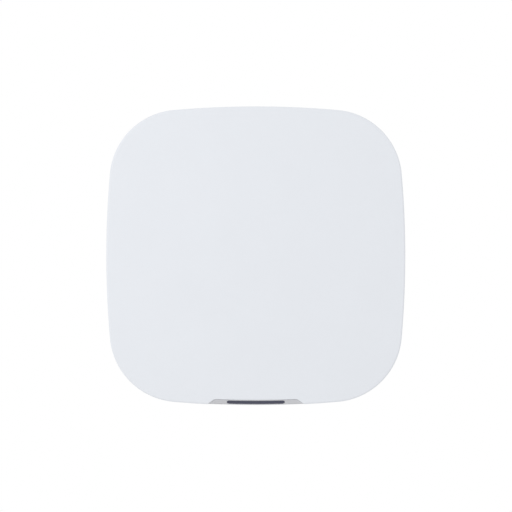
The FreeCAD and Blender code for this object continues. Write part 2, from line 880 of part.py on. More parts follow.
def post_places(columns):
    """The four places where a board is screwed down."""
    rows = (board_bottom + board_post_inset, board_top - board_post_inset)
    return [(x, z) for x in columns for z in rows]


def all_posts():
    return post_places(main_post_columns) + post_places(power_post_columns)


def wall_opening(x, width, height):
    """A hole through the bay's top wall around something that stands on a board's back."""
    return block(x - width / 2 - rest_gap, x + width / 2 + rest_gap, board_depth - height - rest_gap,
                 bay_floor, bay_top - 1, bay_top + bay_wall + 1)


def lug_pocket_half():
    return lug_half_width + 1.0


def lug_pocket_depth():
    return bracket_thickness + lug_reach + 1.0


def sound_hole_places():
    """Rings of holes over the sounder."""
    places = [(sounder_x, sounder_z)]
    for ring in range(1, sound_hole_rings + 1):
        for i in range(6 * ring):
            angle = 2 * math.pi * i / (6 * ring)
            places.append((sounder_x + ring * sound_hole_pitch * math.cos(angle),
                           sounder_z + ring * sound_hole_pitch * math.sin(angle)))
    return places


def clamp_places():
    return [-cable_way_x, cable_way_x]


def bay_under():
    """Height of the underside of the bay's bottom wall."""
    return bay_bottom - bay_wall


def cable_way_walls(body):
    """Walls around the two cable ways and the pocket of the locking screw."""
    walls = []
    top = bay_under() - seat_gap
    for side in (-1, 1):
        x = side * cable_way_x
        half = cable_way_width / 2 + bay_wall
        walls.append(block(x - half, x + half, back_depth, back_depth + cable_way_depth + bay_wall,
                           -half_width, top).common(body))
    half = lug_pocket_half() + bay_wall
    pocket = block(-half, half, back_depth, lug_pocket_depth() + bay_wall, -half_width, top)
    walls.append(pocket.common(body))
    return walls


def cable_way_cuts():
    """The two cable ways, open to the back, the bottom and the bay."""
    cuts = []
    for side in (-1, 1):
        x = side * cable_way_x
        half = cable_way_width / 2
        cuts.append(block(x - half, x + half, back_depth - 1, back_depth + cable_way_depth,
                          -half_width - 2, bay_bottom + 1))
    return cuts


def lug_pocket_cut():
    half = lug_pocket_half()
    return block(-half, half, back_depth - 1, lug_pocket_depth(), -half_width - 2, bay_under())


def bay_box(grow, depth_low, depth_high):
    """The bay's outline, grown outwards, between two depths."""
    return soft_block(-bay_half_width - grow, bay_half_width + grow, depth_low, depth_high,
                      bay_bottom - grow, bay_top + grow, bay_corner + grow)


def bay_tab_places():
    """Where the bay's two side tabs are screwed to the housing."""
    return [(side * (bay_half_width + bay_wall + bay_tab_reach / 2), bay_tab_z) for side in (-1, 1)]


def vent_cuts():
    """Slots along the top edge, and a few beside the pocket in the bottom edge."""
    cuts = []
    for i in range(vent_count):
        x = (i - (vent_count - 1) / 2) * vent_pitch
        cuts.append(soft_block(x - vent_width / 2, x + vent_width / 2, vent_depth_from, vent_depth_to,
                               half_width - 9.0, half_width + 5, vent_width / 2 - 0.01, "up"))
    for x in low_vent_places:
        for side in (-1, 1):
            cuts.append(soft_block(side * x - vent_width / 2, side * x + vent_width / 2, vent_depth_from,
                                   vent_depth_to, -half_width - 5, 9.0 - half_width,
                                   vent_width / 2 - 0.01, "up"))
    return cuts


def clamp_seats():
    """In the bay, a saddle for each cable and a post on each side of it."""
    seats = []
    for x in clamp_places():
        low, high = clamp_z - clamp_width / 2, clamp_z + clamp_width / 2
        saddle = block(x - clamp_saddle_half, x + clamp_saddle_half, cable_depth + 0.8, bay_floor + 0.5,
                       low, high)
        seats.append(saddle.cut(rod_up(x, cable_depth, cable_radius + seat_gap, low - 1, high + 1)))
        for way in (-1, 1):
            seats.append(rod_in(x + way * clamp_screw_x, clamp_z, 2.4, cable_depth - 1, bay_floor + 0.5))
    return seats


def aerial_holders():
    """Slotted blocks on the back wall that hold the aerial boards."""
    holders = []
    half = aerial_thickness / 2 + seat_gap
    for side in (-1, 1):
        for z in (-aerial_holder_z, aerial_holder_z):
            x = side * aerial_x
            low, high = z - aerial_holder_half, z + aerial_holder_half
            holder = block(x - half - 1.2, x + half + 1.2, inner_back - 0.6,
                           inner_back + aerial_holder_height, low, high)
            holders.append(holder.cut(block(x - half, x + half, aerial_depth_from - seat_gap,
                                            inner_back + aerial_holder_height + 1, low - 1, high + 1)))
    return holders


def make_rear_housing():
    top_inset = cover_taper + reveal
    body = slab(top_inset, parting_depth, top_inset + rear_taper, back_depth)
    rim = [e for e in body.Edges if all(abs(v.Point.y + back_depth) < 0.001 for v in e.Vertexes)]
    body = body.makeFillet(back_round, rim)
    beyond = parting_depth + 1.0
    hollow = slab(top_inset + shell_wall, beyond, top_inset + rear_taper + shell_wall, inner_back)
    rim = [e for e in hollow.Edges if all(abs(v.Point.y + inner_back) < 0.001 for v in e.Vertexes)]
    hollow = hollow.makeFillet(back_round - shell_wall, rim)
    shell = body.cut(hollow)
    lip_out = cover_taper + shell_wall + seat_gap
    lip_start = parting_depth - lip_height
    lip = slab(top_inset + 0.5, lip_start, lip_out + 0.2, parting_depth).common(body)
    lip = lip.fuse(slab(lip_out, parting_depth, lip_out - 0.1, parting_depth + lip_height))
    lip_in = lip_out + lip_wall
    lip = lip.cut(slab(lip_in, lip_start - 1, lip_in, parting_depth + lip_height + 1))
    parts = [shell, lip] + cable_way_walls(body)
    for x, z in mirror_places(case_screw_x, case_screw_z):
        parts.append(rod_in(x, z, boss_radius, back_depth + 1, boss_foot_depth))
    for x, z in all_posts():
        parts.append(rod_in(x, z, board_post_radius, inner_back - 0.5, board_depth))
    for x, z in bay_tab_places():
        parts.append(rod_in(x, z, bay_post_radius, inner_back - 0.5, bay_tab_depth))
    for side in (-1, 1):
        parts.append(rod_in(side * tray_post_x, cells_middle_z, tray_post_radius, inner_back - 0.5,
                            cell_front + seat_gap))
    guide_bore = tamper_flange_radius + rest_gap
    parts.append(rod_in(0, tamper_z, guide_bore + tamper_guide_wall, inner_back - 0.5,
                        tamper_housing_top - run_gap))
    parts += aerial_holders()
    housing = fused(parts)

    cuts = cable_way_cuts() + vent_cuts()
    for x, z in mirror_places(case_screw_x, case_screw_z):
        cuts.append(rod_in(x, z, case_screw[1] + run_gap, back_depth - 1, case_head_seat))
        cuts.append(rod_in(x, z, case_screw[0] + rest_gap, back_depth - 1, parting_depth + 5))
    for x, z in all_posts():
        cuts.append(rod_in(x, z, board_screw[0] + seat_gap / 2, board_depth - board_screw_length,
                           board_depth + 1))
    for x, z in bay_tab_places():
        cuts.append(rod_in(x, z, board_screw[0] + seat_gap / 2, bay_tab_depth - board_screw_length,
                           bay_tab_depth + 1))
    for side in (-1, 1):
        cuts.append(rod_in(side * tray_post_x, cells_middle_z, board_screw[0] + seat_gap / 2,
                           cell_front - board_screw_length, cell_front + 2))
        for row in hook_rows:
            cuts.append(hook_slot(side * hook_x, row))
    cuts.append(rod_in(0, tamper_z, tamper_tip_radius + rest_gap, back_depth - 1, inner_back + 1))
    cuts.append(rod_in(0, tamper_z, guide_bore, inner_back, tamper_housing_top))
    room = rest_gap * 2
    led_room = tilted(-chimney_half_length - room, chimney_half_length + room, -led_board_width / 2 - room,
                      led_board_width / 2 + room, led_face(), led_face() + led_board_thickness + room)
    housing = housing.cut(bay_box(bay_wall + seat_gap, back_depth - 1, bay_floor + 9.0))
    housing = housing.cut(lug_pocket_cut())
    return housing.cut(Part.makeCompound(cuts)).cut(led_room)


def make_connector_bay():
    """The box in the opening of the back that holds the sockets, cable clamps and the screw's insert."""
    box = bay_box(bay_wall, back_depth, bay_floor + bay_wall).cut(bay_box(0, back_depth - 5, bay_floor))
    parts = [box]
    for x, z in bay_tab_places():
        x_low, x_high = x - bay_tab_reach / 2, x + bay_tab_reach / 2
        x_low, x_high = (x_low, x_high + 0.5) if x < 0 else (x_low - 0.5, x_high)
        parts.append(block(x_low, x_high, bay_tab_depth, bay_tab_depth + bay_tab_thickness,
                           z - bay_tab_height / 2, z + bay_tab_height / 2))
    parts.append(rod_in(sounder_x, sounder_z, sounder_radius + seat_gap + sounder_rim, bay_floor + 0.5,
                        bay_floor + bay_wall + sounder_rim_height))
    parts.append(rod_up(0, lock_depth, lock_boss_radius, bay_bottom - 0.5, bay_bottom + lock_boss_height))
    bay = fused(parts + clamp_seats())
    cuts = cable_way_cuts()
    cuts.append(wall_opening(jack_x, jack_width, jack_depth))
    cuts.append(wall_opening(inlet_x, inlet_width, inlet_depth))
    cuts.append(wall_opening(sim_x, sim_width, sim_depth))
    for x, radius in ((power_button_x, power_button_radius), (reset_button_x, reset_button_radius)):
        cuts.append(rod_up(x, button_axis_depth, radius + rest_gap, bay_top - 1, bay_top + bay_wall + 1))
    for x, z in sound_hole_places():
        cuts.append(rod_in(x, z, sound_hole_radius, bay_floor - 1, bay_floor + bay_wall + 1))
    cuts.append(rod_in(sounder_x, sounder_z, sounder_radius + seat_gap, bay_floor + bay_wall,
                       bay_floor + bay_wall + sounder_rim_height + 1))
    for x, z in bay_tab_places():
        cuts.append(rod_in(x, z, board_hole_radius, bay_tab_depth - 1, bay_tab_depth + 5))
    low = bay_under()
    cuts.append(rod_up(0, lock_depth, insert_radius + seat_gap / 2, low - 1, low + insert_length))
    for x in clamp_places():
        for way in (-1, 1):
            cuts.append(rod_in(x + way * clamp_screw_x, clamp_z, board_screw[0] + seat_gap / 2,
                               cable_depth - 2, cable_depth + board_screw_length))
    bay = bay.cut(Part.makeCompound(cuts))
    return bay.cut(rod_up(0, lock_depth, lock_hole_radius, low - 1, bay_bottom + lock_boss_height - 1))


def make_case_screws():
    return Part.makeCompound([screw_along(case_screw, case_screw_length, x, z, case_head_seat, True)
                              for x, z in mirror_places(case_screw_x, case_screw_z)])


# Boards and what stands on them.


def make_board(left, right, columns):
    board = soft_block(left, right, board_depth, board_front, board_bottom, board_top, board_corner)
    for x, z in post_places(columns):
        board = board.cut(rod_in(x, z, board_hole_radius, board_depth - 1, board_front + 1))
    return board


def make_board_screws():
    return Part.makeCompound([screw_along(board_screw, board_screw_length, x, z, board_front, False)
                              for x, z in all_posts()])


def make_bay_screws():
    return Part.makeCompound([screw_along(board_screw, board_screw_length, x, z,
                                          bay_tab_depth + bay_tab_thickness, False)
                              for x, z in bay_tab_places()])


def make_jack():
    half = jack_width / 2
    body = block(jack_x - half, jack_x + half, board_depth - jack_depth, board_depth,
                 bay_top, bay_top + jack_length)
    middle = board_depth - jack_depth / 2 + 0.8
    mouth_half, mouth_rise = jack_mouth_width / 2, jack_mouth_depth / 2
    mouth = block(jack_x - mouth_half, jack_x + mouth_half, middle - mouth_rise, middle + mouth_rise,
                  bay_top - 1, bay_top + jack_mouth_length)
    latch = block(jack_x - 3.1, jack_x + 3.1, middle - mouth_rise - 1.6, middle, bay_top - 1,
                  bay_top + jack_mouth_length)
    return body.cut(fused([mouth, latch]))


def make_jack_contacts():
    """Eight thin wires that slope down into the mouth of the jack."""
    middle = board_depth - jack_depth / 2 + 0.8
    top = middle + jack_mouth_depth / 2
    foot, end = bay_top + 4.0, bay_top + jack_mouth_length
    wires = []
    for i in range(8):
        x = jack_x + (i - 3.5) * 1.02
        side = [(foot, top - 2.2), (end, top - 0.5), (end, top), (end - 0.6, top), (foot, top - 1.8)]
        points = [at(x - 0.2, depth, z) for z, depth in side]
        wires.append(Part.Face(Part.makePolygon(points + points[:1])).extrude(Vector(0.4, 0, 0)))
    return Part.makeCompound(wires)


def make_sim_socket():
    half = sim_width / 2
    body = block(sim_x - half, sim_x + half, board_depth - sim_depth, board_depth,
                 bay_top, bay_top + sim_length)
    half = sim_slot_width / 2
    for share in (0.3, 0.72):
        depth = board_depth - sim_depth * share
        body = body.cut(block(sim_x - half, sim_x + half, depth - sim_slot_height / 2,
                              depth + sim_slot_height / 2, bay_top - 1, bay_top + sim_length - 2.0))
    return body


def button(x, radius, proud, nub_radius):
    """A round button whose flange sits behind the bay's wall, with a nub towards its switch."""
    wall = bay_top + bay_wall
    low = wall + rest_gap
    cap = rod_up(x, button_axis_depth, radius, bay_top - proud, low + 0.1)
    lower_rim = [e for e in cap.Edges if abs(e.BoundBox.ZMin - bay_top + proud) < 0.01
                 and e.BoundBox.ZLength < 0.01]
    cap = cap.makeFillet(0.4, lower_rim)
    flange = rod_up(x, button_axis_depth, radius + button_flange, low, low + button_flange_thickness)
    nub = rod_up(x, button_axis_depth, nub_radius, low, low + button_flange_thickness + button_nub_length)
    return fused([cap, flange, nub])


def switch(x, size, nub_radius):
    """A switch body with a well that the button's nub moves in."""
    low = bay_top + bay_wall + switch_from_wall
    body = block(x - size / 2, x + size / 2, button_axis_depth - size / 2, board_depth, low, low + 5.2)
    return body.cut(rod_up(x, button_axis_depth, nub_radius + rest_gap, low - 1, low + switch_well))


def make_inlet():
    half = inlet_width / 2
    body = soft_block(inlet_x - half, inlet_x + half, board_depth - inlet_depth, board_depth,
                      bay_top, bay_top + inlet_length, 1.0, "up")
    middle = board_depth - inlet_depth / 2
    radius = inlet_mouth_depth / 2
    reach = inlet_mouth_width / 2 - radius
    high = bay_top + inlet_mouth_length
    mouth = fused([rod_up(inlet_x - reach, middle, radius, bay_top - 1, high),
                   rod_up(inlet_x + reach, middle, radius, bay_top - 1, high),
                   block(inlet_x - reach, inlet_x + reach, middle - radius * 0.8, middle + radius * 0.8,
                         bay_top - 1, high)])
    return body.cut(mouth)


def make_inlet_pins():
    middle = board_depth - inlet_depth / 2
    high = bay_top + inlet_mouth_length
    pins = []
    for way in (-1, 1):
        pin = rod_up(inlet_x + way * inlet_pin_pitch / 2, middle, inlet_pin_radius,
                     high - inlet_pin_length, high)
        rim = [e for e in pin.Edges if abs(e.BoundBox.ZMax - high + inlet_pin_length) < 0.01]
        pins.append(pin.makeFillet(0.8, rim))
    return Part.makeCompound(pins)


def on_board(x, z, width, length, height):
    """A box on the front of a board, from the middle of its foot."""
    return block(x - width / 2, x + width / 2, board_front, board_front + height,
                 z - length / 2, z + length / 2)


def make_transformer():
    """A square ring of core on the back of the power board, with room for the winding."""
    half_wide, half_long = transformer_width / 2, transformer_length / 2
    deep_high = board_depth - transformer_core_lift
    ring = block(transformer_x - half_wide, transformer_x + half_wide,
                 deep_high - transformer_core_depth, deep_high,
                 transformer_z - half_long, transformer_z + half_long)
    half_wide, half_long = half_wide - transformer_leg, half_long - transformer_leg
    return ring.cut(block(transformer_x - half_wide, transformer_x + half_wide, 0, board_depth,
                          transformer_z - half_long, transformer_z + half_long))


def make_transformer_coil():
    half_wide = transformer_width / 2 - transformer_leg - transformer_gap
    half_long = transformer_length / 2 - transformer_leg - transformer_gap
    return soft_block(transformer_x - half_wide, transformer_x + half_wide,
                      board_depth - transformer_coil_depth, board_depth - seat_gap,
                      transformer_z - half_long, transformer_z + half_long, half_wide * 0.3, "up")


def make_capacitors():
    cans = []
    for x in (capacitor_x, capacitor_x + capacitor_pitch):
        can = rod_up(x, board_depth - capacitor_radius - capacitor_lift, capacitor_radius,
                     capacitor_low, capacitor_low + capacitor_length)
        rims = [e for e in can.Edges if e.BoundBox.ZLength < 0.01]
        cans.append(can.makeFillet(0.5, rims))
    return Part.makeCompound(cans)


def make_shields():
    """Metal cans over the processor and the radio, on the front of the main board."""
    radio_z = board_top - radio_can_from_top - radio_can_length / 2
    cans = [(on_board(processor_can_x, processor_can_z, processor_can_width, processor_can_length,
                      processor_can_height), processor_can_height),
            (on_board(radio_can_x, radio_z, radio_can_width, radio_can_length, radio_can_height),
             radio_can_height)]
    rounded = []
    for can, height in cans:
        top = [e for e in can.Edges if abs(e.BoundBox.YMin + board_front + height) < 0.01
               and e.BoundBox.YLength < 0.01]
        rounded.append(can.makeFillet(can_edge_round, top))
    return Part.makeCompound(rounded)


def make_cellular_module():
    return on_board(module_x, module_z, module_width, module_length, module_height)


def make_chips():
    """Smaller parts on the fronts of both boards."""
    return Part.makeCompound([
        on_board(memory_chip_x, memory_chip_z, memory_chip_size, memory_chip_size, chip_height),
        on_board(clock_chip_x, clock_chip_z, clock_chip_size, clock_chip_size, chip_height),
        on_board(port_chip_x, port_chip_z, port_chip_size, port_chip_size, chip_height),
        on_board(supply_chip_x, supply_chip_z, supply_chip_size, supply_chip_size, chip_height),
        on_board(fuse_x, fuse_z, fuse_length, fuse_width, fuse_height)])


def make_board_link():
    """Two sockets and the flat strip that joins the boards."""
    left_end = main_board_right - link_inset
    right_end = power_board_left + link_inset
    half = link_socket_width / 2
    left = on_board(left_end - half, link_z, link_socket_width, link_socket_length, socket_height)
    right = on_board(right_end + half, link_z, link_socket_width, link_socket_length, socket_height)
    strip = block(left_end + seat_gap, right_end - seat_gap, ribbon_depth,
                  ribbon_depth + ribbon_thickness, link_z - link_socket_length / 2 + 1.0,
                  link_z + link_socket_length / 2 - 1.0)
    return Part.makeCompound([left, right]), strip


# Leads and cables.


def lead(points, radius, bend):
    """A round lead through the points, with a bend at each inner one."""
    spots = [at(*point) for point in points]
    edges = []
    start = spots[0]
    for before, here, after in zip(spots, spots[1:], spots[2:]):
        towards_before = (before - here).normalize()
        towards_after = (after - here).normalize()
        half_angle = towards_before.getAngle(towards_after) / 2
        setback = bend / math.tan(half_angle)
        first = here + towards_before * setback
        last = here + towards_after * setback
        middle_way = (towards_before + towards_after).normalize()
        middle = here + middle_way * (bend / math.sin(half_angle) - bend)
        edges.append(Part.LineSegment(start, first).toShape())
        edges.append(Part.Arc(first, middle, last).toShape())
        start = last
    edges.append(Part.LineSegment(start, spots[-1]).toShape())
    way = spots[1] - spots[0]
    ring = Part.Wire(Part.Circle(spots[0], way, radius).toShape())
    return Part.Wire(edges).makePipeShell([ring], True, False)


def make_battery_leads(red):
    x, z, depth = (red_lead_x, top_cell_z, cell_depth + 1.6) if red else (
        black_lead_x, low_cell_z, cell_depth + 4.0)
    end = board_top - 2.0
    entry = board_front + plug_height / 2
    start = tray_half_length - contact_thickness - 0.2
    return lead([(start + 1.0, depth, z), (x, depth, z), (x, depth, end + 12.0),
                 (x, entry, end + 7.0), (x, entry, end)],
                lead_radius, lead_bend)


def make_battery_plug():
    return block(red_lead_x - 1.6, black_lead_x + 1.6, board_front, board_front + plug_height,
                 board_top - 9.0, board_top - 2.1)


def make_aerials():
    boards = []
    for side in (-1, 1):
        x = side * aerial_x
        half = aerial_thickness / 2
        boards.append(soft_block(x - half, x + half, aerial_depth_from, aerial_depth_to,
                                 -aerial_half_height, aerial_half_height, 2.0, "across"))
    return Part.makeCompound(boards)


def make_coaxes():
    """Thin leads from the aerials to small round sockets on the main board."""
    depth = board_front + left_coax_lift
    high = depth + right_coax_lift
    face = aerial_x - aerial_thickness / 2 - 0.1
    drop = face - coax_from_aerial
    low = (aerial_depth_from + aerial_depth_to) / 2
    left = lead([(left_coax_x - coax_socket_radius - 0.1, depth, left_coax_z), (-drop, depth, left_coax_z),
                 (-drop, low, left_coax_z), (-face, low, left_coax_z)], coax_radius, coax_bend)
    start_z = right_coax_z + right_coax_step
    right = lead([(right_coax_x + coax_socket_radius + 0.1, high, start_z),
                  (power_board_left + right_coax_step, high, start_z),
                  (power_board_left + 2 * right_coax_step, high, right_coax_z),
                  (drop, high, right_coax_z), (drop, low, right_coax_z), (face, low, right_coax_z)],
                 coax_radius, coax_bend)
    return Part.makeCompound([left, right])


def make_coax_sockets():
    height = left_coax_lift + coax_radius + 0.25
    left = rod_in(left_coax_x, left_coax_z, coax_socket_radius, board_front, board_front + height)
    right = rod_in(right_coax_x, right_coax_z + right_coax_step, coax_socket_radius, board_front,
                   board_front + height + right_coax_lift)
    return Part.makeCompound([left, right])


# Battery.


def make_cells():
    cells = []
    for z, way in ((top_cell_z, 1), (low_cell_z, -1)):
        low = -cell_length / 2
        high = cell_length / 2 - cell_nub_length
        if way < 0:
            low, high = -high, -low
        body = rod_across(cell_depth, z, cell_radius, low, high)
        rims = [e for e in body.Edges if e.BoundBox.XLength < 0.01]
        body = body.makeFillet(0.6, rims)
        nub_low = high if way > 0 else low - cell_nub_length
        nub = rod_across(cell_depth, z, cell_nub_radius, nub_low - 0.1, nub_low + cell_nub_length + 0.1)
        cells.append(fused([body, nub.common(block(-cell_length / 2, cell_length / 2, 0, 40, 0, 80))]))
    return Part.makeCompound(cells)


def make_tray():
    low = inner_back + seat_gap
    body = soft_block(-tray_half_length - tray_end_wall, tray_half_length + tray_end_wall,
                      low, low + tray_depth, tray_bottom, tray_top, 0.6)
    round_edges = soft_block(-tray_half_length - tray_end_wall, tray_half_length + tray_end_wall,
                             low, low + 3 * tray_depth, tray_bottom, tray_top, tray_corner, "across")
    body = body.common(round_edges)
    for z in (top_cell_z, low_cell_z):
        body = body.cut(rod_across(cell_depth, z, cell_radius + cell_play,
                                   -tray_half_length, tray_half_length))
    ears = []
    reach = tray_post_x + tray_post_radius + 1.6
    for side in (-1, 1):
        x_low, x_high = sorted((side * (tray_half_length + 0.5), side * reach))
        ears.append(block(x_low, x_high, low, low + tray_floor, cells_middle_z - tray_ear_half,
                          cells_middle_z + tray_ear_half))
    body = fused([body] + ears)
    for side in (-1, 1):
        body = body.cut(rod_in(side * tray_post_x, cells_middle_z, tray_post_radius + seat_gap, 0, low + 5))
    return body


def make_retainer():
    low = cell_front + seat_gap
    reach = tray_post_x + tray_post_radius + 0.6
    plate = soft_block(-reach, reach, low, low + retainer_thickness,
                       cells_middle_z - retainer_half_height, cells_middle_z + retainer_half_height, 2.0)
    for side in (-1, 1):
        plate = plate.cut(rod_in(side * tray_post_x, cells_middle_z, board_hole_radius, low - 1, low + 5))
    for x in (-22.0, 0.0, 22.0):
        plate = plate.cut(soft_block(x - 8.0, x + 8.0, low - 1, low + 5, cells_middle_z - 4.0,
                                     cells_middle_z + 4.0, 2.0))
    return plate


def make_retainer_screws():
    seat = cell_front + seat_gap + retainer_thickness
    return Part.makeCompound([screw_along(board_screw, board_screw_length, side * tray_post_x,
                                          cells_middle_z, seat, False) for side in (-1, 1)])


def make_battery_contacts():
    """One plate joins the cells on the left, and one for each lead is on the right."""
    outer = tray_half_length - seat_gap
    inner = outer - contact_thickness
    half = contact_size / 2
    reach = cell_length / 2 + 0.05
    pieces = []
    for side in (-1, 1):
        springs = []
        for z in (top_cell_z, low_cell_z):
            x_low, x_high = sorted((side * inner, side * outer))
            plate = block(x_low, x_high, cell_depth - half, cell_depth + half + 0.8, z - half, z + half)
            cone = Part.makeCone(contact_spring_radius, contact_spring_radius * 0.55, inner - reach + 0.1,
                                 at(side * (inner + 0.1), cell_depth, z), Vector(-side, 0, 0))
            springs.append(fused([plate, cone]))
        if side > 0:
            pieces += springs
        else:
            bar = block(-outer, -inner, cell_depth + half - 1.0, cell_depth + half + 0.8,
                        low_cell_z, top_cell_z)
            pieces.append(fused(springs + [bar]))
    return Part.makeCompound(pieces)


# Tamper switch.


def make_tamper_plunger():
    tip = rod_in(0, tamper_z, tamper_tip_radius, bracket_thickness + tamper_tip_gap,
                 tamper_flange_depth + 0.2)
    rim = [e for e in tip.Edges if abs(e.BoundBox.YMax + bracket_thickness + tamper_tip_gap) < 0.01
           and e.BoundBox.YLength < 0.01]
    tip = tip.makeFillet(0.5, rim)
    flange_end = tamper_flange_depth + tamper_flange_thickness
    flange = rod_in(0, tamper_z, tamper_flange_radius, tamper_flange_depth, flange_end)
    stem = rod_in(0, tamper_z, tamper_stem_radius, flange_end - 0.2, flange_end + tamper_stem_length)
    return fused([tip, flange, stem])


def make_tamper_switch():
    half = tamper_housing_half
    body = soft_block(-half, half, tamper_housing_top, board_depth, tamper_z - half, tamper_z + half, 0.8)
    return body.cut(rod_in(0, tamper_z, tamper_bore, tamper_housing_top - 1,
                           board_depth - tamper_housing_floor))


def make_tamper_spring():
    low = tamper_flange_depth + tamper_flange_thickness + spring_wire + 0.04
    high = board_depth - tamper_housing_floor - spring_wire - 0.04
    pitch = (high - low) / spring_turns
    helix = Part.makeHelix(pitch, high - low, spring_radius)
    ring = Part.Wire(Part.Circle(Vector(spring_radius, 0, 0), Vector(0, 1, 0), spring_wire).toShape())
    coil = Part.Wire(helix.Edges).makePipeShell([ring], True, True)
    coil.rotate(Vector(0, 0, 0), Vector(1, 0, 0), 90)
    coil.translate(at(0, low, tamper_z))
    return coil


# Sounder and cable clamps.


def make_sounder():
    low = bay_floor + bay_wall + seat_gap
    body = rod_in(sounder_x, sounder_z, sounder_radius, low, low + sounder_thickness)
    rims = [e for e in body.Edges if abs(e.BoundBox.YMin + low + sounder_thickness) < 0.01
            and e.BoundBox.YLength < 0.01]
    return body.makeFillet(0.8, rims)


def make_clamps():
    bars = []
    top = cable_depth - 1 - 0.05
    for x in clamp_places():
        bar = soft_block(x - clamp_length / 2, x + clamp_length / 2, top - clamp_thickness, top,
                         clamp_z - clamp_width / 2, clamp_z + clamp_width / 2, 1.2)
        bar = bar.cut(rod_up(x, cable_depth, cable_radius + seat_gap, clamp_z - 10, clamp_z + 10))
        for way in (-1, 1):
            bar = bar.cut(rod_in(x + way * clamp_screw_x, clamp_z, board_hole_radius, 0, top + 1))
            bar = bar.cut(rod_in(x + way * clamp_screw_x, clamp_z, board_screw[1] + 0.15, 0,
                                 top - clamp_thickness + board_screw[2] + 0.1))
        bars.append(bar)
    return Part.makeCompound(bars)


def make_clamp_screws():
    seat = cable_depth - 1 - 0.05 - clamp_thickness + board_screw[2] + 0.1
    return Part.makeCompound([screw_along(board_screw, board_screw_length, x + way * clamp_screw_x,
                                          clamp_z, seat, True)
                              for x in clamp_places() for way in (-1, 1)])


def main():
    ribbon_sockets, ribbon = make_ribbon()
    link_sockets, link = make_board_link()
    nodes = {
        "mounting_bracket": make_bracket(),
        "rear_housing": make_rear_housing(),
        "connector_bay": make_connector_bay(),
        "bay_screws": make_bay_screws(),
        "front_cover": make_front_cover(),
        "case_screws": make_case_screws(),
        "indicator_bezel": make_bezel(),
        "indicator_lens": make_lens(),
        "light_guide": make_light_guide(),
        "indicator_board": make_led_board(),
        "indicator_leds": make_leds(),
        "bezel_screws": make_bezel_screws(),
        "indicator_ribbon": ribbon,
        "ribbon_sockets": ribbon_sockets,
        "main_board": make_board(main_board_left, main_board_right, main_post_columns),
        "power_board": make_board(power_board_left, power_board_right, power_post_columns),
        "board_screws": make_board_screws(),
        "board_link": link,
        "link_sockets": link_sockets,
        "shield_cans": make_shields(),
        "cellular_module": make_cellular_module(),
        "board_chips": make_chips(),
        "ethernet_jack": make_jack(),
        "jack_contacts": make_jack_contacts(),
        "sim_socket": make_sim_socket(),
        "power_button": button(power_button_x, power_button_radius, power_button_proud, power_nub_radius),
        "reset_button": button(reset_button_x, reset_button_radius, reset_button_proud, reset_nub_radius),
        "power_switch": switch(power_button_x, power_switch_size, power_nub_radius),
        "reset_switch": switch(reset_button_x, reset_switch_size, reset_nub_radius),
        "power_inlet": make_inlet(),
        "inlet_pins": make_inlet_pins(),
        "transformer_core": make_transformer(),
        "transformer_coil": make_transformer_coil(),
        "capacitors": make_capacitors(),
        "battery_cells": make_cells(),
        "battery_tray": make_tray(),
        "battery_retainer": make_retainer(),
        "retainer_screws": make_retainer_screws(),
        "battery_contacts": make_battery_contacts(),
        "battery_lead_red": make_battery_leads(True),
        "battery_lead_black": make_battery_leads(False),
        "battery_plug": make_battery_plug(),
        "aerial_boards": make_aerials(),
        "aerial_leads": make_coaxes(),
        "aerial_sockets": make_coax_sockets(),
        "tamper_plunger": make_tamper_plunger(),
        "tamper_switch": make_tamper_switch(),
        "tamper_spring": make_tamper_spring(),
        "sounder": make_sounder(),
        "cable_clamps": make_clamps(),
        "clamp_screws": make_clamp_screws(),
        "locking_screw": make_locking_screw(),
        "locking_washer": make_locking_washer(),
        "locking_insert": make_locking_insert(),
    }
    os.makedirs("parts", exist_ok=True)
    for name, shape in nodes.items():
        shape.exportStep("parts/" + name + ".step")
        print(name, shape.isValid(), len(shape.Solids), round(shape.Volume, 1))


main()
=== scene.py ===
"""Looks of a wall-hung alarm control panel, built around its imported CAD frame.

Blender 4.5. Metres. X runs to the right as seen from the room, Z runs up, and the room lies
towards -Y. "Depth" is the distance from the wall towards the room, so a depth d is Y = -d.
"""
import json
import math
import bmesh
import bpy
import numpy as np
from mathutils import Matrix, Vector


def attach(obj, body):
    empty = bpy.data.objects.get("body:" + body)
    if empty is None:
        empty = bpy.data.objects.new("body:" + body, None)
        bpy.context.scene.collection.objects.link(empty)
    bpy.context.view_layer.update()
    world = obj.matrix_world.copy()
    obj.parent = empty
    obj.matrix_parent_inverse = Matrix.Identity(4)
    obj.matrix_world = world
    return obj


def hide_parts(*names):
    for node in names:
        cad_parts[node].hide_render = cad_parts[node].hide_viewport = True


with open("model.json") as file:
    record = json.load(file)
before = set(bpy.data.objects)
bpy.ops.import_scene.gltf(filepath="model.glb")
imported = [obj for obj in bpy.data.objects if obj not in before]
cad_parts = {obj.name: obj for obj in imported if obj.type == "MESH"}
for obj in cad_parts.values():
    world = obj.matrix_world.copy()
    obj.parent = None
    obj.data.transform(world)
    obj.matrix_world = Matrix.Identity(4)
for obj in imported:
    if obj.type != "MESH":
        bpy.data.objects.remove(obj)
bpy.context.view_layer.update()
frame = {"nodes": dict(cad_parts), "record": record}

mm = 0.001
quarter_turn = math.pi / 2
full_turn = 2 * math.pi
white = (1.0, 1.0, 1.0, 1.0)

# The panel's outline, in millimetres, as its solids have it: four arcs for the sides and four for the
# corners. A corner's arc is centred at corner_middle, across and up, and a side's arc takes side_turn
# to each side of its middle.
half_width = 81.5
side_radius = 530.0
side_shift = side_radius - half_width
corner_radius = 38.0
corner_reach = side_radius - corner_radius
corner_middle = (math.sqrt(2 * corner_reach ** 2 - side_shift ** 2) - side_shift) / 2
side_turn = math.atan2(corner_middle, corner_middle + side_shift)

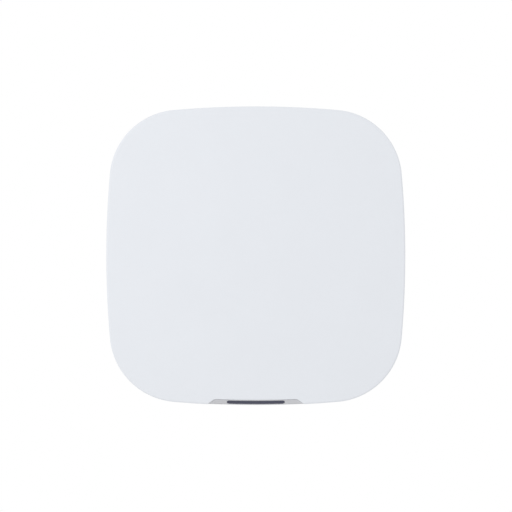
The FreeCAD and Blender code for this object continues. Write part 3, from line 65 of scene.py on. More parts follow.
# Its depths, the crowned front and the leaning outer wall.
panel_depth = 37.0
crown_rise = 2.4
crown_radius = (half_width ** 2 + crown_rise ** 2) / (2 * crown_rise)
edge_round = 1.0
edge_depth = panel_depth - crown_rise
widest_depth = edge_depth - edge_round
parting_depth = 19.0
cover_taper = 0.9
wall_lean = cover_taper / (widest_depth - parting_depth)
shell_wall = 2.2

# The notch, its bezel and the light's window on a facet of 45 degrees.
notch_height = 3.0
notch_foot_half = 27.4
notch_top_half = 23.2
notch_slant = (notch_foot_half - notch_top_half) / notch_height
notch_corner = 3.0
notch_back_depth = 26.5
seat_gap = 0.1
round_end = 9.0
lens_half_length = 15.8
lens_half_width = 1.2
lens_slot = (lens_half_length + seat_gap, lens_half_width + seat_gap, round_end)
lens_rise = 1.33
lens_depth = edge_depth - notch_height + lens_rise
lens_thickness = 1.6
bezel_recess = 0.2
slope = math.sqrt(0.5)
foot_rise = 0.14
end_scoop = 0.75
scoop_length = 5.0

# The bezel's collar and chimney: half length, half width, and from where to where they go inward. The
# guide's slot and the ears: half length, half width and corner.
collar = (17.3, 1.9, 0.8, 2.4)
chimney = (18.5, 2.3, 2.1, 6.8)
square_corner = 0.1
guide_slot = (15.1, 1.0, square_corner)
ear_size = (6.5, 3.0, 1.2)
fit_room = 0.2

# Places that pieces share. A boss has its radius, its bore, where it starts and ends in depth, and how
# deep the bore goes.
case_screw_x = 60.0
case_screw_z = 50.0
case_boss = (4.0, 1.5, 17.0, 33.4, 14.0)
ear_x = 20.5
ear_screw_x = 23.5
ear_screw_z = 8.0 - half_width
ear_depths = (26.95, 28.35)
ear_boss = (2.6, 0.85, ear_depths[1], 33.0, 3.4)
lock_depth = 9.0
board_front = 23.6
light_face = lens_thickness + 5.2
light_board_back = light_face + 1.0


# Meshes.


def column(*values):
    """Numbers one under the other, so that each makes a row of a grid."""
    return np.array(values, float)[:, None]


def unit(vector):
    """A vector, or each row of several, made one long."""
    return vector / np.linalg.norm(vector, axis=-1, keepdims=True)


def surface(x, depth, z, rows_close=False):
    """One grid of points, given across, in depth and in height in millimetres, with four-sided faces
    between neighbouring rows and columns. Each row closes on itself, and the rows do where told."""
    x, depth, z = np.broadcast_arrays(x, depth, z)
    rows, columns = x.shape
    row = np.arange(rows if rows_close else rows - 1)
    a, b = (m.ravel() for m in np.meshgrid(row, np.arange(columns), indexing="ij"))
    next_a, next_b = (a + 1) % rows, (b + 1) % columns
    faces = np.stack([a * columns + b, a * columns + next_b,
                      next_a * columns + next_b, next_a * columns + b], axis=-1)
    return (np.stack([x, -depth, z], axis=-1) * mm).reshape(-1, 3), faces


def banded(*bands, rows_close=False):
    """One surface from several bands of rows, each given across, in depth and in height."""
    return surface(*np.concatenate(bands, axis=1), rows_close=rows_close)


def swept(path, rings):
    """A surface from a ring of places round each place of a path. It closes at the path's own ends."""
    first, last = (place + 0 * rings[:1] for place in (path[:1, None], path[-1:, None]))
    return surface(*np.moveaxis(np.concatenate([first, rings, last]), 2, 0))


def mesh_of(name, surfaces):
    """A mesh from several grids, with poles and seams merged and faces turned outwards."""
    counts = np.cumsum([0] + [len(points) for points, _ in surfaces])
    points = np.concatenate([points for points, _ in surfaces])
    faces = np.concatenate([quads + start for (_, quads), start in zip(surfaces, counts)])
    mesh = bpy.data.meshes.new(name)
    mesh.from_pydata(points.tolist(), [], faces.tolist())
    shape = bmesh.new()
    shape.from_mesh(mesh)
    bmesh.ops.remove_doubles(shape, verts=shape.verts, dist=1e-7)
    bmesh.ops.dissolve_degenerate(shape, edges=shape.edges, dist=1e-8)
    bmesh.ops.recalc_face_normals(shape, faces=shape.faces)
    shape.to_mesh(mesh)
    shape.free()
    return mesh


def add_object(name, data):
    """A new object in the scene."""
    item = bpy.data.objects.new(name, data)
    bpy.context.scene.collection.objects.link(item)
    return item


def add_modifier(item, name, kind, **settings):
    """A modifier with its settings."""
    modifier = item.modifiers.new(name, kind)
    for key, value in settings.items():
        setattr(modifier, key, value)


def add_piece(name, shapes, slot, *nodes, body="hub", sharp=35.0):
    """A piece that rides on a body and stands for CAD nodes, from closed surfaces or a finished mesh.
    It is shaded smooth, and edges sharper than an angle stay crisp."""
    mesh = mesh_of(name, shapes) if isinstance(shapes, list) else shapes
    mesh.shade_smooth()
    mesh.set_sharp_from_angle(angle=math.radians(sharp))
    item = add_object(name, mesh)
    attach(item, body)
    if nodes:
        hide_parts(*nodes)
    mesh.materials.append(finishes[slot])
    return item


def cut_by(mesh, cutters):
    """The mesh with the cutters' meshes taken out of it, exactly."""
    base, *tools = [add_object("blank", each) for each in [mesh] + cutters]
    for tool in tools:
        add_modifier(base, "cut", "BOOLEAN", object=tool, operation="DIFFERENCE", solver="EXACT")
    bpy.context.view_layer.update()
    seen = base.evaluated_get(bpy.context.evaluated_depsgraph_get())
    result = bpy.data.meshes.new_from_object(seen)
    for item in tools + [base]:
        bpy.data.objects.remove(item)
    return result


def joined(name, meshes):
    """One mesh from several, left as separate shells."""
    shape = bmesh.new()
    for mesh in meshes:
        shape.from_mesh(mesh)
    whole = bpy.data.meshes.new(name)
    shape.to_mesh(whole)
    shape.free()
    return whole


# Forms that several pieces share.


def outline_angles(side_count, corner_count):
    """Directions of the outline's normal, once round from the middle of the bottom side."""
    half = np.linspace(0, side_turn, side_count // 2, endpoint=False)
    corner = np.linspace(side_turn, quarter_turn - side_turn, corner_count, endpoint=False)
    other = np.linspace(quarter_turn - side_turn, quarter_turn, side_count // 2, endpoint=False)
    quarter = np.concatenate([half, corner, other])
    return np.concatenate([quarter + k * quarter_turn for k in range(4)])


def outline_at(angles, inset):
    """The outline moved in by inset. The point for a normal's direction lies on the large circle of
    its side within the side's turn, and otherwise on the small circle of the corner."""
    spin = np.round(angles / quarter_turn) * quarter_turn
    local = angles - spin
    on_side = np.abs(local) <= side_turn + 1e-12
    radius = np.where(on_side, side_radius, corner_radius) - inset
    centre_across = np.where(on_side, 0.0, np.sign(local) * corner_middle)
    centre_down = np.where(on_side, -side_shift, corner_middle)
    across = centre_across + radius * np.sin(local)
    down = centre_down + radius * np.cos(local)
    x = across * np.cos(spin) + down * np.sin(spin)
    z = across * np.sin(spin) - down * np.cos(spin)
    return x, z


def ball_depth(x, z, inset=0.0):
    """Depth of the crowned front: a large ball whose top is the panel's full depth."""
    return panel_depth - crown_radius + np.sqrt((crown_radius - inset) ** 2 - x ** 2 - z ** 2)


def on_ball(x, z, inset=0.0):
    """Places on that ball, across, in depth and in height."""
    return x, ball_depth(x, z, inset), z


def lathe(profile, x, depth, z, count):
    """A surface of revolution: each (radius, height) of the profile goes round a line along the
    depth, with the height towards the room."""
    radius, height = (column(*values) for values in zip(*profile))
    angle = np.linspace(0, full_turn, count, endpoint=False)
    return surface(x + radius * np.cos(angle), depth + height, z + radius * np.sin(angle))


# Nodes and finishes.

slot_colour = {m["slot"]: m["base_color"] for m in frame["record"]["materials"]}
gilt = (0.72, 0.58, 0.30, 1.0)
finishes = {}


def set_inputs(tree, node, inputs):
    """A node's inputs, each linked to another node's output or set to a value."""
    for key, value in inputs.items():
        if isinstance(value, bpy.types.NodeSocket):
            tree.links.new(value, node.inputs[key])
        else:
            node.inputs[key].default_value = value


def add_node(tree, kind, inputs, output=0, **settings):
    """A new node with its settings and inputs, for one of its outputs if it has any."""
    node = tree.nodes.new(kind)
    for key, value in settings.items():
        setattr(node, key, value)
    set_inputs(tree, node, inputs)
    return node.outputs[output] if len(node.outputs) else None


class Finish:
    """One material on the way: its shader, its object coordinates, and short calls for its nodes. The
    coordinates are in metres, so a scale of 1000 is one cell to a millimetre."""

    def __init__(self, slot):
        self.material = bpy.data.materials.new(slot)
        self.material.use_nodes = True
        self.tree = self.material.node_tree
        self.tree.nodes.clear()
        self.shader = self.tree.nodes.new("ShaderNodeBsdfPrincipled")
        self.end = self.tree.nodes.new("ShaderNodeOutputMaterial")
        set_inputs(self.tree, self.end, {"Surface": self.shader.outputs["BSDF"]})
        self.place = self.node("TexCoord", {}, "Object")
        self.colour = (*slot_colour.get(slot, white)[:3], 1.0)
        finishes[slot] = self.material

    def node(self, kind, inputs, output=0, **settings):
        """One of the material's nodes, by the name of its kind."""
        return add_node(self.tree, "ShaderNode" + kind, inputs, output, **settings)

    def noise(self, cell, detail=2.0, rough=0.5, stretch=None):
        """Cloudy noise whose cells are about that many millimetres, stretched along an axis if told."""
        place = self.place
        if stretch:
            place = self.node("Mapping", {"Vector": place, "Scale": stretch})
        return self.node("TexNoise", {"Vector": place, "Scale": 1000.0 / cell, "Detail": detail,
                                      "Roughness": rough})

    def cells(self, cell, metric="EUCLIDEAN", output=0):
        """Cells of about that many millimetres: how far their middle is, or a tone for each."""
        return self.node("TexVoronoi", {"Vector": self.place, "Scale": 1000.0 / cell}, output,
                         distance=metric)

    def bands(self, scale, way, profile="SIN", output=1, **inputs):
        """Bands that follow each other along one axis."""
        return self.node("TexWave", {"Vector": self.place, "Scale": scale, **inputs}, output,
                         bands_direction=way, wave_profile=profile)

    def maths(self, operation, first, second):
        """Two values added or multiplied."""
        return self.node("Math", {0: first, 1: second}, operation=operation)

    def spread(self, value, low, high, from_low=0.3, from_high=0.7):
        """The value taken from one range to another, held at its ends."""
        return self.node("MapRange", {"Value": value, "From Min": from_low, "From Max": from_high,
                                      "To Min": low, "To Max": high})

    def mix(self, share, first, second):
        """Two colours mixed by a share."""
        return self.node("Mix", {0: share, 6: first, 7: second}, 2, data_type="RGBA")

    def tint(self, share):
        """The finish's own colour, lighter or darker by a share."""
        return (*(min(1.0, c * (1 + share)) for c in self.colour[:3]), 1.0)

    def tones(self, value, low, high):
        """The finish's own colour from one tint to another as the value goes up."""
        return self.mix(self.spread(value, 0, 1), self.tint(low), self.tint(high))

    def bump(self, height, tall):
        """A bump as tall as so many millimetres where height goes from 0 to 1."""
        return self.node("Bump", {"Height": height, "Distance": tall * mm, "Strength": 1.0})

    def join(self, colour, roughness, normal, **fixed):
        """Wires the shader. What is the same all over goes on its own socket."""
        fixed = {key.replace("_", " "): value for key, value in fixed.items()}
        set_inputs(self.tree, self.shader,
                   {"Base Color": colour, "Roughness": roughness, "Normal": normal, **fixed})


def moulded(slot, roughness, cloud, grain, tall, specks=0.0):
    """Moulded plastic: a faint cloudy tint, a fine matte grain, and now and then a tiny dark speck."""
    f = Finish(slot)
    fine = f.noise(grain * 2.2, 3.0, 0.6)
    colour = f.mix(f.spread(fine, 0, 0.5), f.tones(f.noise(22.0), -cloud, cloud), f.tint(-2.2 * cloud))
    if specks:
        near = f.spread(f.cells(13.0), 1, 0, 0.008, 0.02)
        colour = f.mix(near, colour, f.tint(-specks))
    grains = f.noise(grain, 2.0, 0.7)
    f.join(colour, f.spread(fine, roughness - 0.06, roughness + 0.06), f.bump(grains, tall))


def glossy(slot, roughness, cloud, transmission=0.0):
    """Polished clear or tinted plastic, with faint flow lines and a slightly uneven skin."""
    f = Finish(slot)
    flow = f.noise(5.0, 2.0, 0.5, (0.25, 1.0, 1.0))
    dust = f.noise(0.35, 1.0)
    f.join(f.tones(flow, -cloud, cloud), f.spread(dust, roughness * 0.8, roughness * 1.4),
           f.bump(flow, 0.01), Transmission_Weight=transmission, IOR=1.49)


def metal(slot, roughness, stretch, grain, cloud, tall, tarnish):
    """Plated or rolled metal: streaks along the way it was worked, soft stains and a varied sheen."""
    f = Finish(slot)
    streak = f.noise(grain, 3.0, 0.6, stretch)
    stain = f.noise(3.5, 3.0, 0.6)
    colour = f.mix(f.spread(stain, 0, tarnish, 0.5, 0.75), f.tones(streak, -cloud, cloud), f.tint(-0.5))
    sheen = f.maths("ADD", f.spread(streak, -0.06, 0.06),
                    f.spread(stain, roughness - 0.06, roughness + 0.08))
    f.join(colour, sheen, f.bump(streak, tall), Metallic=1.0)


def laminate(slot):
    """Circuit board: solder mask over bundles of tracks that run across or up, block by block, with
    bare gilt pads and the glass weave showing faintly."""
    f = Finish(slot)
    block_kind = f.spread(f.cells(5.5, "CHEBYCHEV", 1), 0, 1, 0.49, 0.51)
    across, upward = f.bands(330.0, "X"), f.bands(330.0, "Z")
    bundle = f.node("Mix", {0: block_kind, 2: across, 3: upward})
    routed = f.spread(f.noise(6.0, 1.0), 0, 1, 0.46, 0.50)
    raised = f.maths("MULTIPLY", f.spread(bundle, 0, 1, 0.62, 0.74), routed)
    weave = f.bands(900.0, "X", output=0, Distortion=1.5, Detail=1.0)
    colour = f.mix(raised, f.mix(f.spread(weave, 0, 0.35), f.colour, f.tint(0.25)), f.tint(0.55))
    pads = f.spread(f.cells(4.7, "CHEBYCHEV"), 1, 0, 0.075, 0.09)
    f.join(f.mix(pads, colour, gilt), f.spread(pads, 0.32, 0.22, 0, 1), f.bump(raised, 0.03))


def sleeve(slot, seam, roughness):
    """Shrink sleeve: a smooth film with fine draw lines, slight scuffs and a darker seam tone."""
    f = Finish(slot)
    draw = f.noise(0.8, 2.0, 0.5, (0.08, 1.0, 1.0))
    scuff = f.noise(2.2, 4.0, 0.65)
    colour = f.mix(f.spread(scuff, 0, 0.35, 0.6, 0.8), f.tones(draw, -seam * 0.3, seam * 0.3),
                   f.tint(seam * 2))
    f.join(colour, f.spread(scuff, roughness, roughness + 0.15), f.bump(draw, 0.012))


def rubbery(slot):
    """Soft wire insulation: faintly ribbed from the die, with a dusty bloom."""
    f = Finish(slot)
    bloom = f.noise(1.6, 3.0)
    rib = f.noise(0.3, 1.0, 0.5, (1.0, 1.0, 0.1))
    f.join(f.mix(f.spread(bloom, 0, 0.4), f.colour, f.tint(0.6)), f.spread(bloom, 0.42, 0.62),
           f.bump(rib, 0.01))


def sintered(slot):
    """Ferrite: dark, coarse and pitted, with rubbed shiny patches."""
    f = Finish(slot)
    rub = f.noise(4.0, 4.0, 0.6)
    f.join(f.tones(rub, -0.2, 0.5), f.spread(rub, 0.7, 0.45), f.bump(f.cells(0.5), 0.04))


def wound_tape(slot):
    """Polyester tape in overlapping turns, with a line at each edge."""
    f = Finish(slot)
    turns = f.bands(160.0, "Z", "SAW", Distortion=0.6)
    crease = f.noise(2.5, 3.0)
    f.join(f.mix(f.spread(turns, 0, 0.6, 0.85, 1.0), f.colour, f.tint(-0.35)),
           f.spread(crease, 0.12, 0.3), f.bump(f.maths("ADD", turns, crease), 0.03))


def flat_cable(slot):
    """Flat cable: thin conductors side by side under a white film."""
    f = Finish(slot)
    strips = f.bands(320.0, "X")
    f.join(f.mix(f.spread(strips, 0, 0.5, 0.3, 0.8), f.colour, f.tint(-0.3)),
           f.spread(f.noise(1.8), 0.3, 0.45), f.bump(strips, 0.02))


moulded("cover_plastic", 0.56, 0.006, 0.40, 0.016, 0.05)
moulded("housing_plastic", 0.58, 0.008, 0.45, 0.022, 0.05)
moulded("bracket_plastic", 0.60, 0.010, 0.50, 0.025, 0.05)
moulded("bezel_plastic", 0.45, 0.010, 0.30, 0.010)
moulded("connector_black", 0.42, 0.12, 0.35, 0.02)
moulded("connector_cream", 0.50, 0.03, 0.40, 0.015)
moulded("chip_black", 0.62, 0.15, 0.18, 0.02)
moulded("button_plastic", 0.48, 0.05, 0.35, 0.015)
moulded("tray_plastic", 0.50, 0.12, 0.50, 0.03)
moulded("board_black", 0.40, 0.15, 0.60, 0.01)
moulded("led_package", 0.30, 0.03, 0.30, 0.01)
glossy("lens_plastic", 0.16, 0.04)
glossy("guide_plastic", 0.08, 0.03, 0.85)
metal("screw_steel", 0.32, (1.0, 1.0, 0.3), 0.2, 0.08, 0.004, 0.15)
metal("plated_brass", 0.28, (1.0, 0.4, 1.0), 0.25, 0.08, 0.004, 0.3)
metal("nickel_contact", 0.26, (0.3, 1.0, 1.0), 0.3, 0.06, 0.003, 0.15)
metal("shield_metal", 0.36, (0.1, 1.0, 1.0), 0.3, 0.03, 0.006, 0.06)
metal("spring_steel", 0.24, (1.0, 1.0, 1.0), 0.2, 0.05, 0.003, 0.1)
laminate("board_laminate")
sleeve("capacitor_sleeve", 0.3, 0.30)
sleeve("cell_sleeve", 0.1, 0.26)
rubbery("lead_red")
rubbery("lead_black")
sintered("ferrite")
wound_tape("coil_tape")
flat_cable("ribbon_white")


# Carried-over solids: smooth where they curve, crisp where they turn, each in its own finish.


smooth_limit, flat_limit, bevel_limit = math.radians(32.0), math.radians(0.6), math.radians(40)


def smooth_by_angle(limit, merge_distance=2e-6):
    """A node group that merges the loose triangles and marks the edges that stay sharp."""
    group = bpy.data.node_groups.new("smooth_by_angle", "GeometryNodeTree")
    for way in ("INPUT", "OUTPUT"):
        group.interface.new_socket("Geometry", in_out=way, socket_type="NodeSocketGeometry")
    shape = add_node(group, "NodeGroupInput", {})
    shape = add_node(group, "GeometryNodeMergeByDistance", {"Geometry": shape, "Distance": merge_distance})
    angle = add_node(group, "GeometryNodeInputMeshEdgeAngle", {}, "Unsigned Angle")
    flat = add_node(group, "FunctionNodeCompare", {0: angle, 1: limit}, operation="LESS_THAN")
    shape = add_node(group, "GeometryNodeSetShadeSmooth", {"Geometry": shape}, domain="FACE")
    shape = add_node(group, "GeometryNodeSetShadeSmooth", {"Geometry": shape, "Shade Smooth": flat},
                     domain="EDGE")
    add_node(group, "NodeGroupOutput", {0: shape})
    return group


# How wide each moulding's edges are bevelled, in millimetres.
softened = {"mounting_bracket": 0.2, "rear_housing": 0.15, "connector_bay": 0.15, "cable_clamps": 0.2,
            "power_button": 0.15, "reset_button": 0.12, "power_inlet": 0.15, "ethernet_jack": 0.12,
            "battery_tray": 0.15, "battery_retainer": 0.15, "transformer_core": 0.15}
smoothing = smooth_by_angle(smooth_limit)
slot_of = {part["node"]: part["material_slot"] for part in frame["record"]["subparts"]}
for name, node in frame["nodes"].items():
    node.data.materials.clear()
    node.data.materials.append(finishes[slot_of[name]])
    add_modifier(node, "merged", "NODES", node_group=smoothing)
    if name in softened:
        add_modifier(node, "flat", "DECIMATE", decimate_type="DISSOLVE", angle_limit=flat_limit)
        add_modifier(node, "edge", "BEVEL", width=softened[name] * mm, segments=2, limit_method="ANGLE",
                     angle_limit=bevel_limit, use_clamp_overlap=True)
    add_modifier(node, "even", "WEIGHTED_NORMAL", keep_sharp=True)


# The front cover, which is most of what the room sees.


def cover_profile(angles):
    """For each direction of the outline, where the edge's quarter circle is centred. It touches the
    leaning wall and the ball, so its centre lies one radius inside both lines."""
    crown = ball_depth(*outline_at(angles, 0.0))
    rise = (ball_depth(*outline_at(angles, 2 * edge_round)) - crown) / (2 * edge_round)
    wall_length = math.hypot(1, wall_lean)
    crown_length = np.hypot(1, rise)
    inset = (edge_round * wall_length
             - wall_lean * (crown - edge_round * crown_length - widest_depth)) / (1 + wall_lean * rise)
    depth = crown + rise * inset - edge_round * crown_length
    return inset, depth, rise


def cover_skin():
    """The cover as one closed skin. One parameter goes round the outline. The other starts at the
    middle of the inner face, goes out to the wall and down it, crosses the rim, climbs the leaning
    outer wall, turns the edge on a quarter circle, and comes back over the ball to the middle."""
    angles = outline_angles(64, 34)[None, :]
    inset, depth, rise = cover_profile(angles)
    start = math.pi + math.atan(wall_lean)
    bend = start + (quarter_turn + np.arctan(rise) - start) * np.linspace(0, 1, 10)[:, None]
    edge_inset = inset + edge_round * np.cos(bend)
    edge_depths = depth + edge_round * np.sin(bend)
    climb = np.linspace(0, 1, 12)[:-1, None]
    wall_depth = parting_depth + climb * (edge_depths[:1] - parting_depth)
    wall_inset = -wall_lean * (wall_depth - widest_depth)
    crown_inset = edge_inset[-1:] + column(0.5, 1.2, 2.2, 3.5, 5.0, 7.0, 9.5)
    outer_x, outer_z = outline_at(angles, np.concatenate([wall_inset, edge_inset, crown_inset]))
    outer_depth = np.concatenate([wall_depth, edge_depths,
                                  ball_depth(outer_x, outer_z)[-len(crown_inset):]])
    share = np.linspace(1, 0, 30)[1:, None]
    middle = on_ball(outer_x[-1:] * share, outer_z[-1:] * share)

    ceiling = column(9.5, 7.0, 5.0, 3.5, 2.6) + 0 * angles
    top = ball_depth(*outline_at(angles, shell_wall + 0 * angles), shell_wall)
    inner_wall = top + (parting_depth - top) * np.linspace(0, 1, 8)[:, None]
    inner_inset = np.concatenate([ceiling, shell_wall - wall_lean * (inner_wall - widest_depth)])
    inner_x, inner_z = outline_at(angles, inner_inset)
    inner_depth = np.concatenate([ball_depth(inner_x, inner_z, shell_wall)[:len(ceiling)], inner_wall])
    share = np.linspace(0, 1, 24)[:-1, None]
    core = on_ball(inner_x[:1] * share, inner_z[:1] * share, shell_wall)
    return banded(core, (inner_x, inner_depth, inner_z), (outer_x, outer_depth, outer_z), middle)


def run_between(first, last, count):
    """Points evenly along a straight run, without its last one."""
    share = np.linspace(0, 1, count, endpoint=False)[:, None]
    return np.array(first) * (1 - share) + np.array(last) * share


def mirrored_loop(right):
    """A closed loop from its right half, which goes from the middle below to the middle above."""
    left = right[1:-1][::-1] * [-1, 1]
    loop = np.concatenate([right, left])
    return loop[:, 0], loop[:, 1]


def notch_loop(shrink, rise):
    """The notch seen from the front, once round from the middle of its foot: across and height. The
    foot and the top follow the bottom side's arc, the ends slant, and a circle that touches slant and
    top rounds each corner."""
    end_length = math.hypot(notch_slant, 1)
    along = np.array([-notch_slant, 1.0]) / end_length
    inward = np.array([-1.0, -notch_slant]) / end_length
    start = np.array([notch_foot_half - shrink, -half_width])
    top_radius = side_radius - notch_height + shrink
    foot_radius = side_radius - rise

    def reach(point, radius):
        """How far it is from a point, along the slant, to a circle about the bottom arc's middle."""
        from_middle = point - [0, side_shift]
        across = from_middle @ along
        return -across - math.sqrt(across ** 2 - from_middle @ from_middle + radius ** 2)

    def arc(radius, turn):
        """Points on such a circle, by their turn from straight below."""
        return np.stack([radius * np.sin(turn), side_shift - radius * np.cos(turn)], 1)

    first = start + along * reach(start, foot_radius)
    raised = start + inward * notch_corner
    centre = raised + along * reach(raised, top_radius + notch_corner)
    touch = math.atan2(-inward[1], -inward[0])
    top_touch = math.atan2(side_shift - centre[1], -centre[0])
    bend = np.linspace(touch, top_touch, 10)
    corner = centre + notch_corner * np.stack([np.cos(bend), np.sin(bend)], 1)
    foot = arc(foot_radius, np.linspace(0, math.asin(first[0] / foot_radius), 48, endpoint=False))
    top = arc(top_radius, np.linspace(math.asin(corner[-1, 0] / top_radius), 0, 49)[1:])
    return mirrored_loop(np.concatenate([foot, run_between(first, corner[0], 8), corner, top]))


def facet(along, up, inward):
    """Points on the 45 degree facet of the bottom edge. along follows the bottom side's large circle,
    up runs up the facet from the lens's middle, and inward goes into it along its normal."""
    rise = lens_rise + slope * up
    depth = edge_depth - notch_height + rise - slope * inward
    radius = side_radius - rise - slope * inward
    turn = along / side_radius
    return radius * np.sin(turn), depth, side_shift - radius * np.cos(turn)


def bar_loop(half_length, half_up, radius):
    """A bar with round corners, once round from the middle of its lower side: along and up. It has as
    many points on each stretch as the notch's outline has."""
    radius = min(radius, half_up * 0.999)
    flat = half_length - radius
    bend = np.linspace(-quarter_turn, 0, 9)[:-1]
    low = np.stack([flat + radius * np.cos(bend), radius - half_up + radius * np.sin(bend)], 1)
    bend = np.linspace(0, quarter_turn, 10)
    high = np.stack([flat + radius * np.cos(bend), half_up - radius + radius * np.sin(bend)], 1)
    return mirrored_loop(np.concatenate([run_between([0, -half_up], [flat, -half_up], 48), low, high,
                                         run_between([flat, half_up], [0, half_up], 48)[1:],
                                         [[0, half_up]]]))


def capped(loop, middle=0.0):
    """Four rows that carry a closed loop from one end to the other, with a fan to its middle at each."""
    return np.stack([middle + 0 * loop, loop, loop, middle + 0 * loop])


def prism(x, z, low, high):
    """A closed line carried straight along the depth."""
    return surface(capped(x, x.mean()), column(low, low, high, high), capped(z, z.mean()))


def facet_block(half_length, half_up, low, high):
    """A straight bar on the facet, from one distance inward to another."""
    along, up = bar_loop(half_length, half_up, 0.05)
    return surface(*facet(capped(along), capped(up), column(low, low, high, high)))


def facet_tube(outer, inner, low, high):
    """The wall between two bars on the facet, from one distance inward to another."""
    along, up = (np.stack(rows) for rows in zip(*(bar_loop(*size) for size in (outer, outer, inner, inner))))
    return surface(*facet(along, up, column(low, high, high, low)), rows_close=True)


def boss(x, z, radius, bore, low, high, bore_end, bevel=0.2):
    """A screw boss: a plain tube closed at its far end."""
    tall = high - low
    return lathe([(bore, 0), (radius - bevel, 0), (radius, bevel), (radius, tall), (0, tall),
                  (0, bore_end), (bore, bore_end), (bore, 0)], x, low, z, 40)


def cover_mesh(clear=3.0):
    """The cover's skin with the notch and the room for the bezel cut out, and its six screw bosses."""
    x, z = notch_loop(0.0, -clear)
    rooms = [prism(x, z, notch_back_depth, panel_depth + clear)]
    rooms += [facet_block(half_length + fit_room, half_up + fit_room, low - fit_room, high)
              for half_length, half_up, low, high in (collar, chimney)]
    shell = cut_by(mesh_of("cover_shell", [cover_skin()]), [mesh_of("room", [room]) for room in rooms])
    bosses = []
    for side in (-1, 1):
        for level in (-1, 1):
            bosses.append(boss(side * case_screw_x, level * case_screw_z, *case_boss))
        bosses.append(boss(side * ear_screw_x, ear_screw_z, *ear_boss))
    return joined("front_cover_shell", [shell, mesh_of("cover_bosses", bosses)])


cover = add_piece("front_cover_shell", cover_mesh(), "cover_plastic", "front_cover", sharp=30.0)
add_modifier(cover, "even", "WEIGHTED_NORMAL", keep_sharp=True)


# The status light's bezel and lens, in the notch.


def face_depth(x, z):
    """Depth of the bezel's slanted face: rise and depth go up together on the facet, and towards each
    slanted end the face scoops forward on a parabola, more where the facet lies deeper."""
    rise = side_radius - np.hypot(x, z - side_shift)
    from_end = (notch_foot_half - notch_slant * rise - np.abs(x)) / math.hypot(notch_slant, 1)
    scoop = end_scoop * np.clip(1 - from_end / scoop_length, 0, 1) ** 2 * (notch_height - rise)
    return edge_depth - notch_height + rise - 2 * slope * bezel_recess + scoop


def bezel_face(slot_round=0.12, rim_round=0.16, rim_fall=0.2, waist=30.0):
    """The bezel's bar as a closed ring round the lens's slot. One parameter goes round slot and bar.
    The other climbs the slot, turns its rim, crosses the slanted face, turns the outer rim, and goes
    back along the depth to the bar's rear."""
    slot_along, slot_up = bar_loop(*lens_slot)
    wide_along, wide_up = bar_loop(lens_slot[0] + slot_round, lens_slot[1] + slot_round, round_end)
    bend = column(0.0, 0.35, 0.7, 1.0) * quarter_turn
    share = 1 - np.cos(bend)
    slot = facet(slot_along + (wide_along - slot_along) * share, slot_up + (wide_up - slot_up) * share,
                 bezel_recess + slot_round * (1 - np.sin(bend)))
    deep = facet(slot_along, slot_up, bezel_recess + column(lens_thickness + 0.2, 0.9))
    bar_x, bar_z = notch_loop(seat_gap, foot_rise)
    rim_x, rim_z = notch_loop(seat_gap + rim_round, foot_rise + rim_round)
    share = column(0.2, 0.4, 0.6, 0.8, 1.0)
    face_x, face_z = (start + (end - start) * share
                      for start, end in ((slot[0][-1], rim_x), (slot[2][-1], rim_z)))
    face = face_x, face_depth(face_x, face_z), face_z
    bend = column(0.35, 0.7, 1.0) * quarter_turn
    edge = (rim_x + (bar_x - rim_x) * np.sin(bend), face[1][-1] - rim_fall * (1 - np.cos(bend)),
            rim_z + (bar_z - rim_z) * np.sin(bend))
    rear = np.broadcast_arrays(bar_x, column(waist, notch_back_depth + seat_gap), bar_z)
    return banded(deep, slot, face, edge, rear, rows_close=True)


def ear(side, hole_radius=1.0):
    """One of the bezel's flat ears: a plate with round corners, and a ring inside it for the screw's
    hole, whose points lie in the same directions from the screw as the plate's."""
    along, up = bar_loop(*ear_size)
    x, z = side * ear_x + along, ear_screw_z + up
    angle = np.arctan2(z - ear_screw_z, x - side * ear_screw_x)
    hole_x = side * ear_screw_x + hole_radius * np.cos(angle)
    hole_z = ear_screw_z + hole_radius * np.sin(angle)
    low, high = ear_depths
    return surface(np.stack([x, x, hole_x, hole_x]), column(low, high, high, low),
                   np.stack([z, z, hole_z, hole_z]), rows_close=True)


def lens_surface(draw_in=8):
    """The lens: a bar with round ends whose front bulges a little, with its rim turned over. Shares of
    the bar's outline go from the middle of the front out to the rim, down the side and to the back."""
    along, up = bar_loop(lens_half_length, lens_half_width, round_end)
    share = column(0, 0.25, 0.5, 0.7, 0.85, 0.93, 0.975, 1.0, 1.0, 0.0)
    inward = column(0.10, 0.10, 0.11, 0.12, 0.14, 0.17, 0.24, 0.36, 1.7, 1.7)
    narrow = np.maximum(lens_half_length - lens_half_width * (1 - share) - (1 - share) * draw_in, 0)
    line = along / lens_half_length * np.where(share > 0, narrow, 0)
    return surface(*facet(np.where(share >= 1, along, line), up * share, inward))


tubes = [facet_tube((*tube[:2], square_corner), slot, *tube[2:])
         for tube, slot in ((collar, lens_slot), (chimney, guide_slot))]
add_piece("indicator_bezel_trim", [bezel_face()] + tubes + [ear(1), ear(-1)], "bezel_plastic",
          "indicator_bezel", sharp=40.0)
add_piece("indicator_window", [lens_surface()], "lens_plastic", "indicator_lens", sharp=50.0)


# Screws, each with a rounded head, a cross recess and a thread.


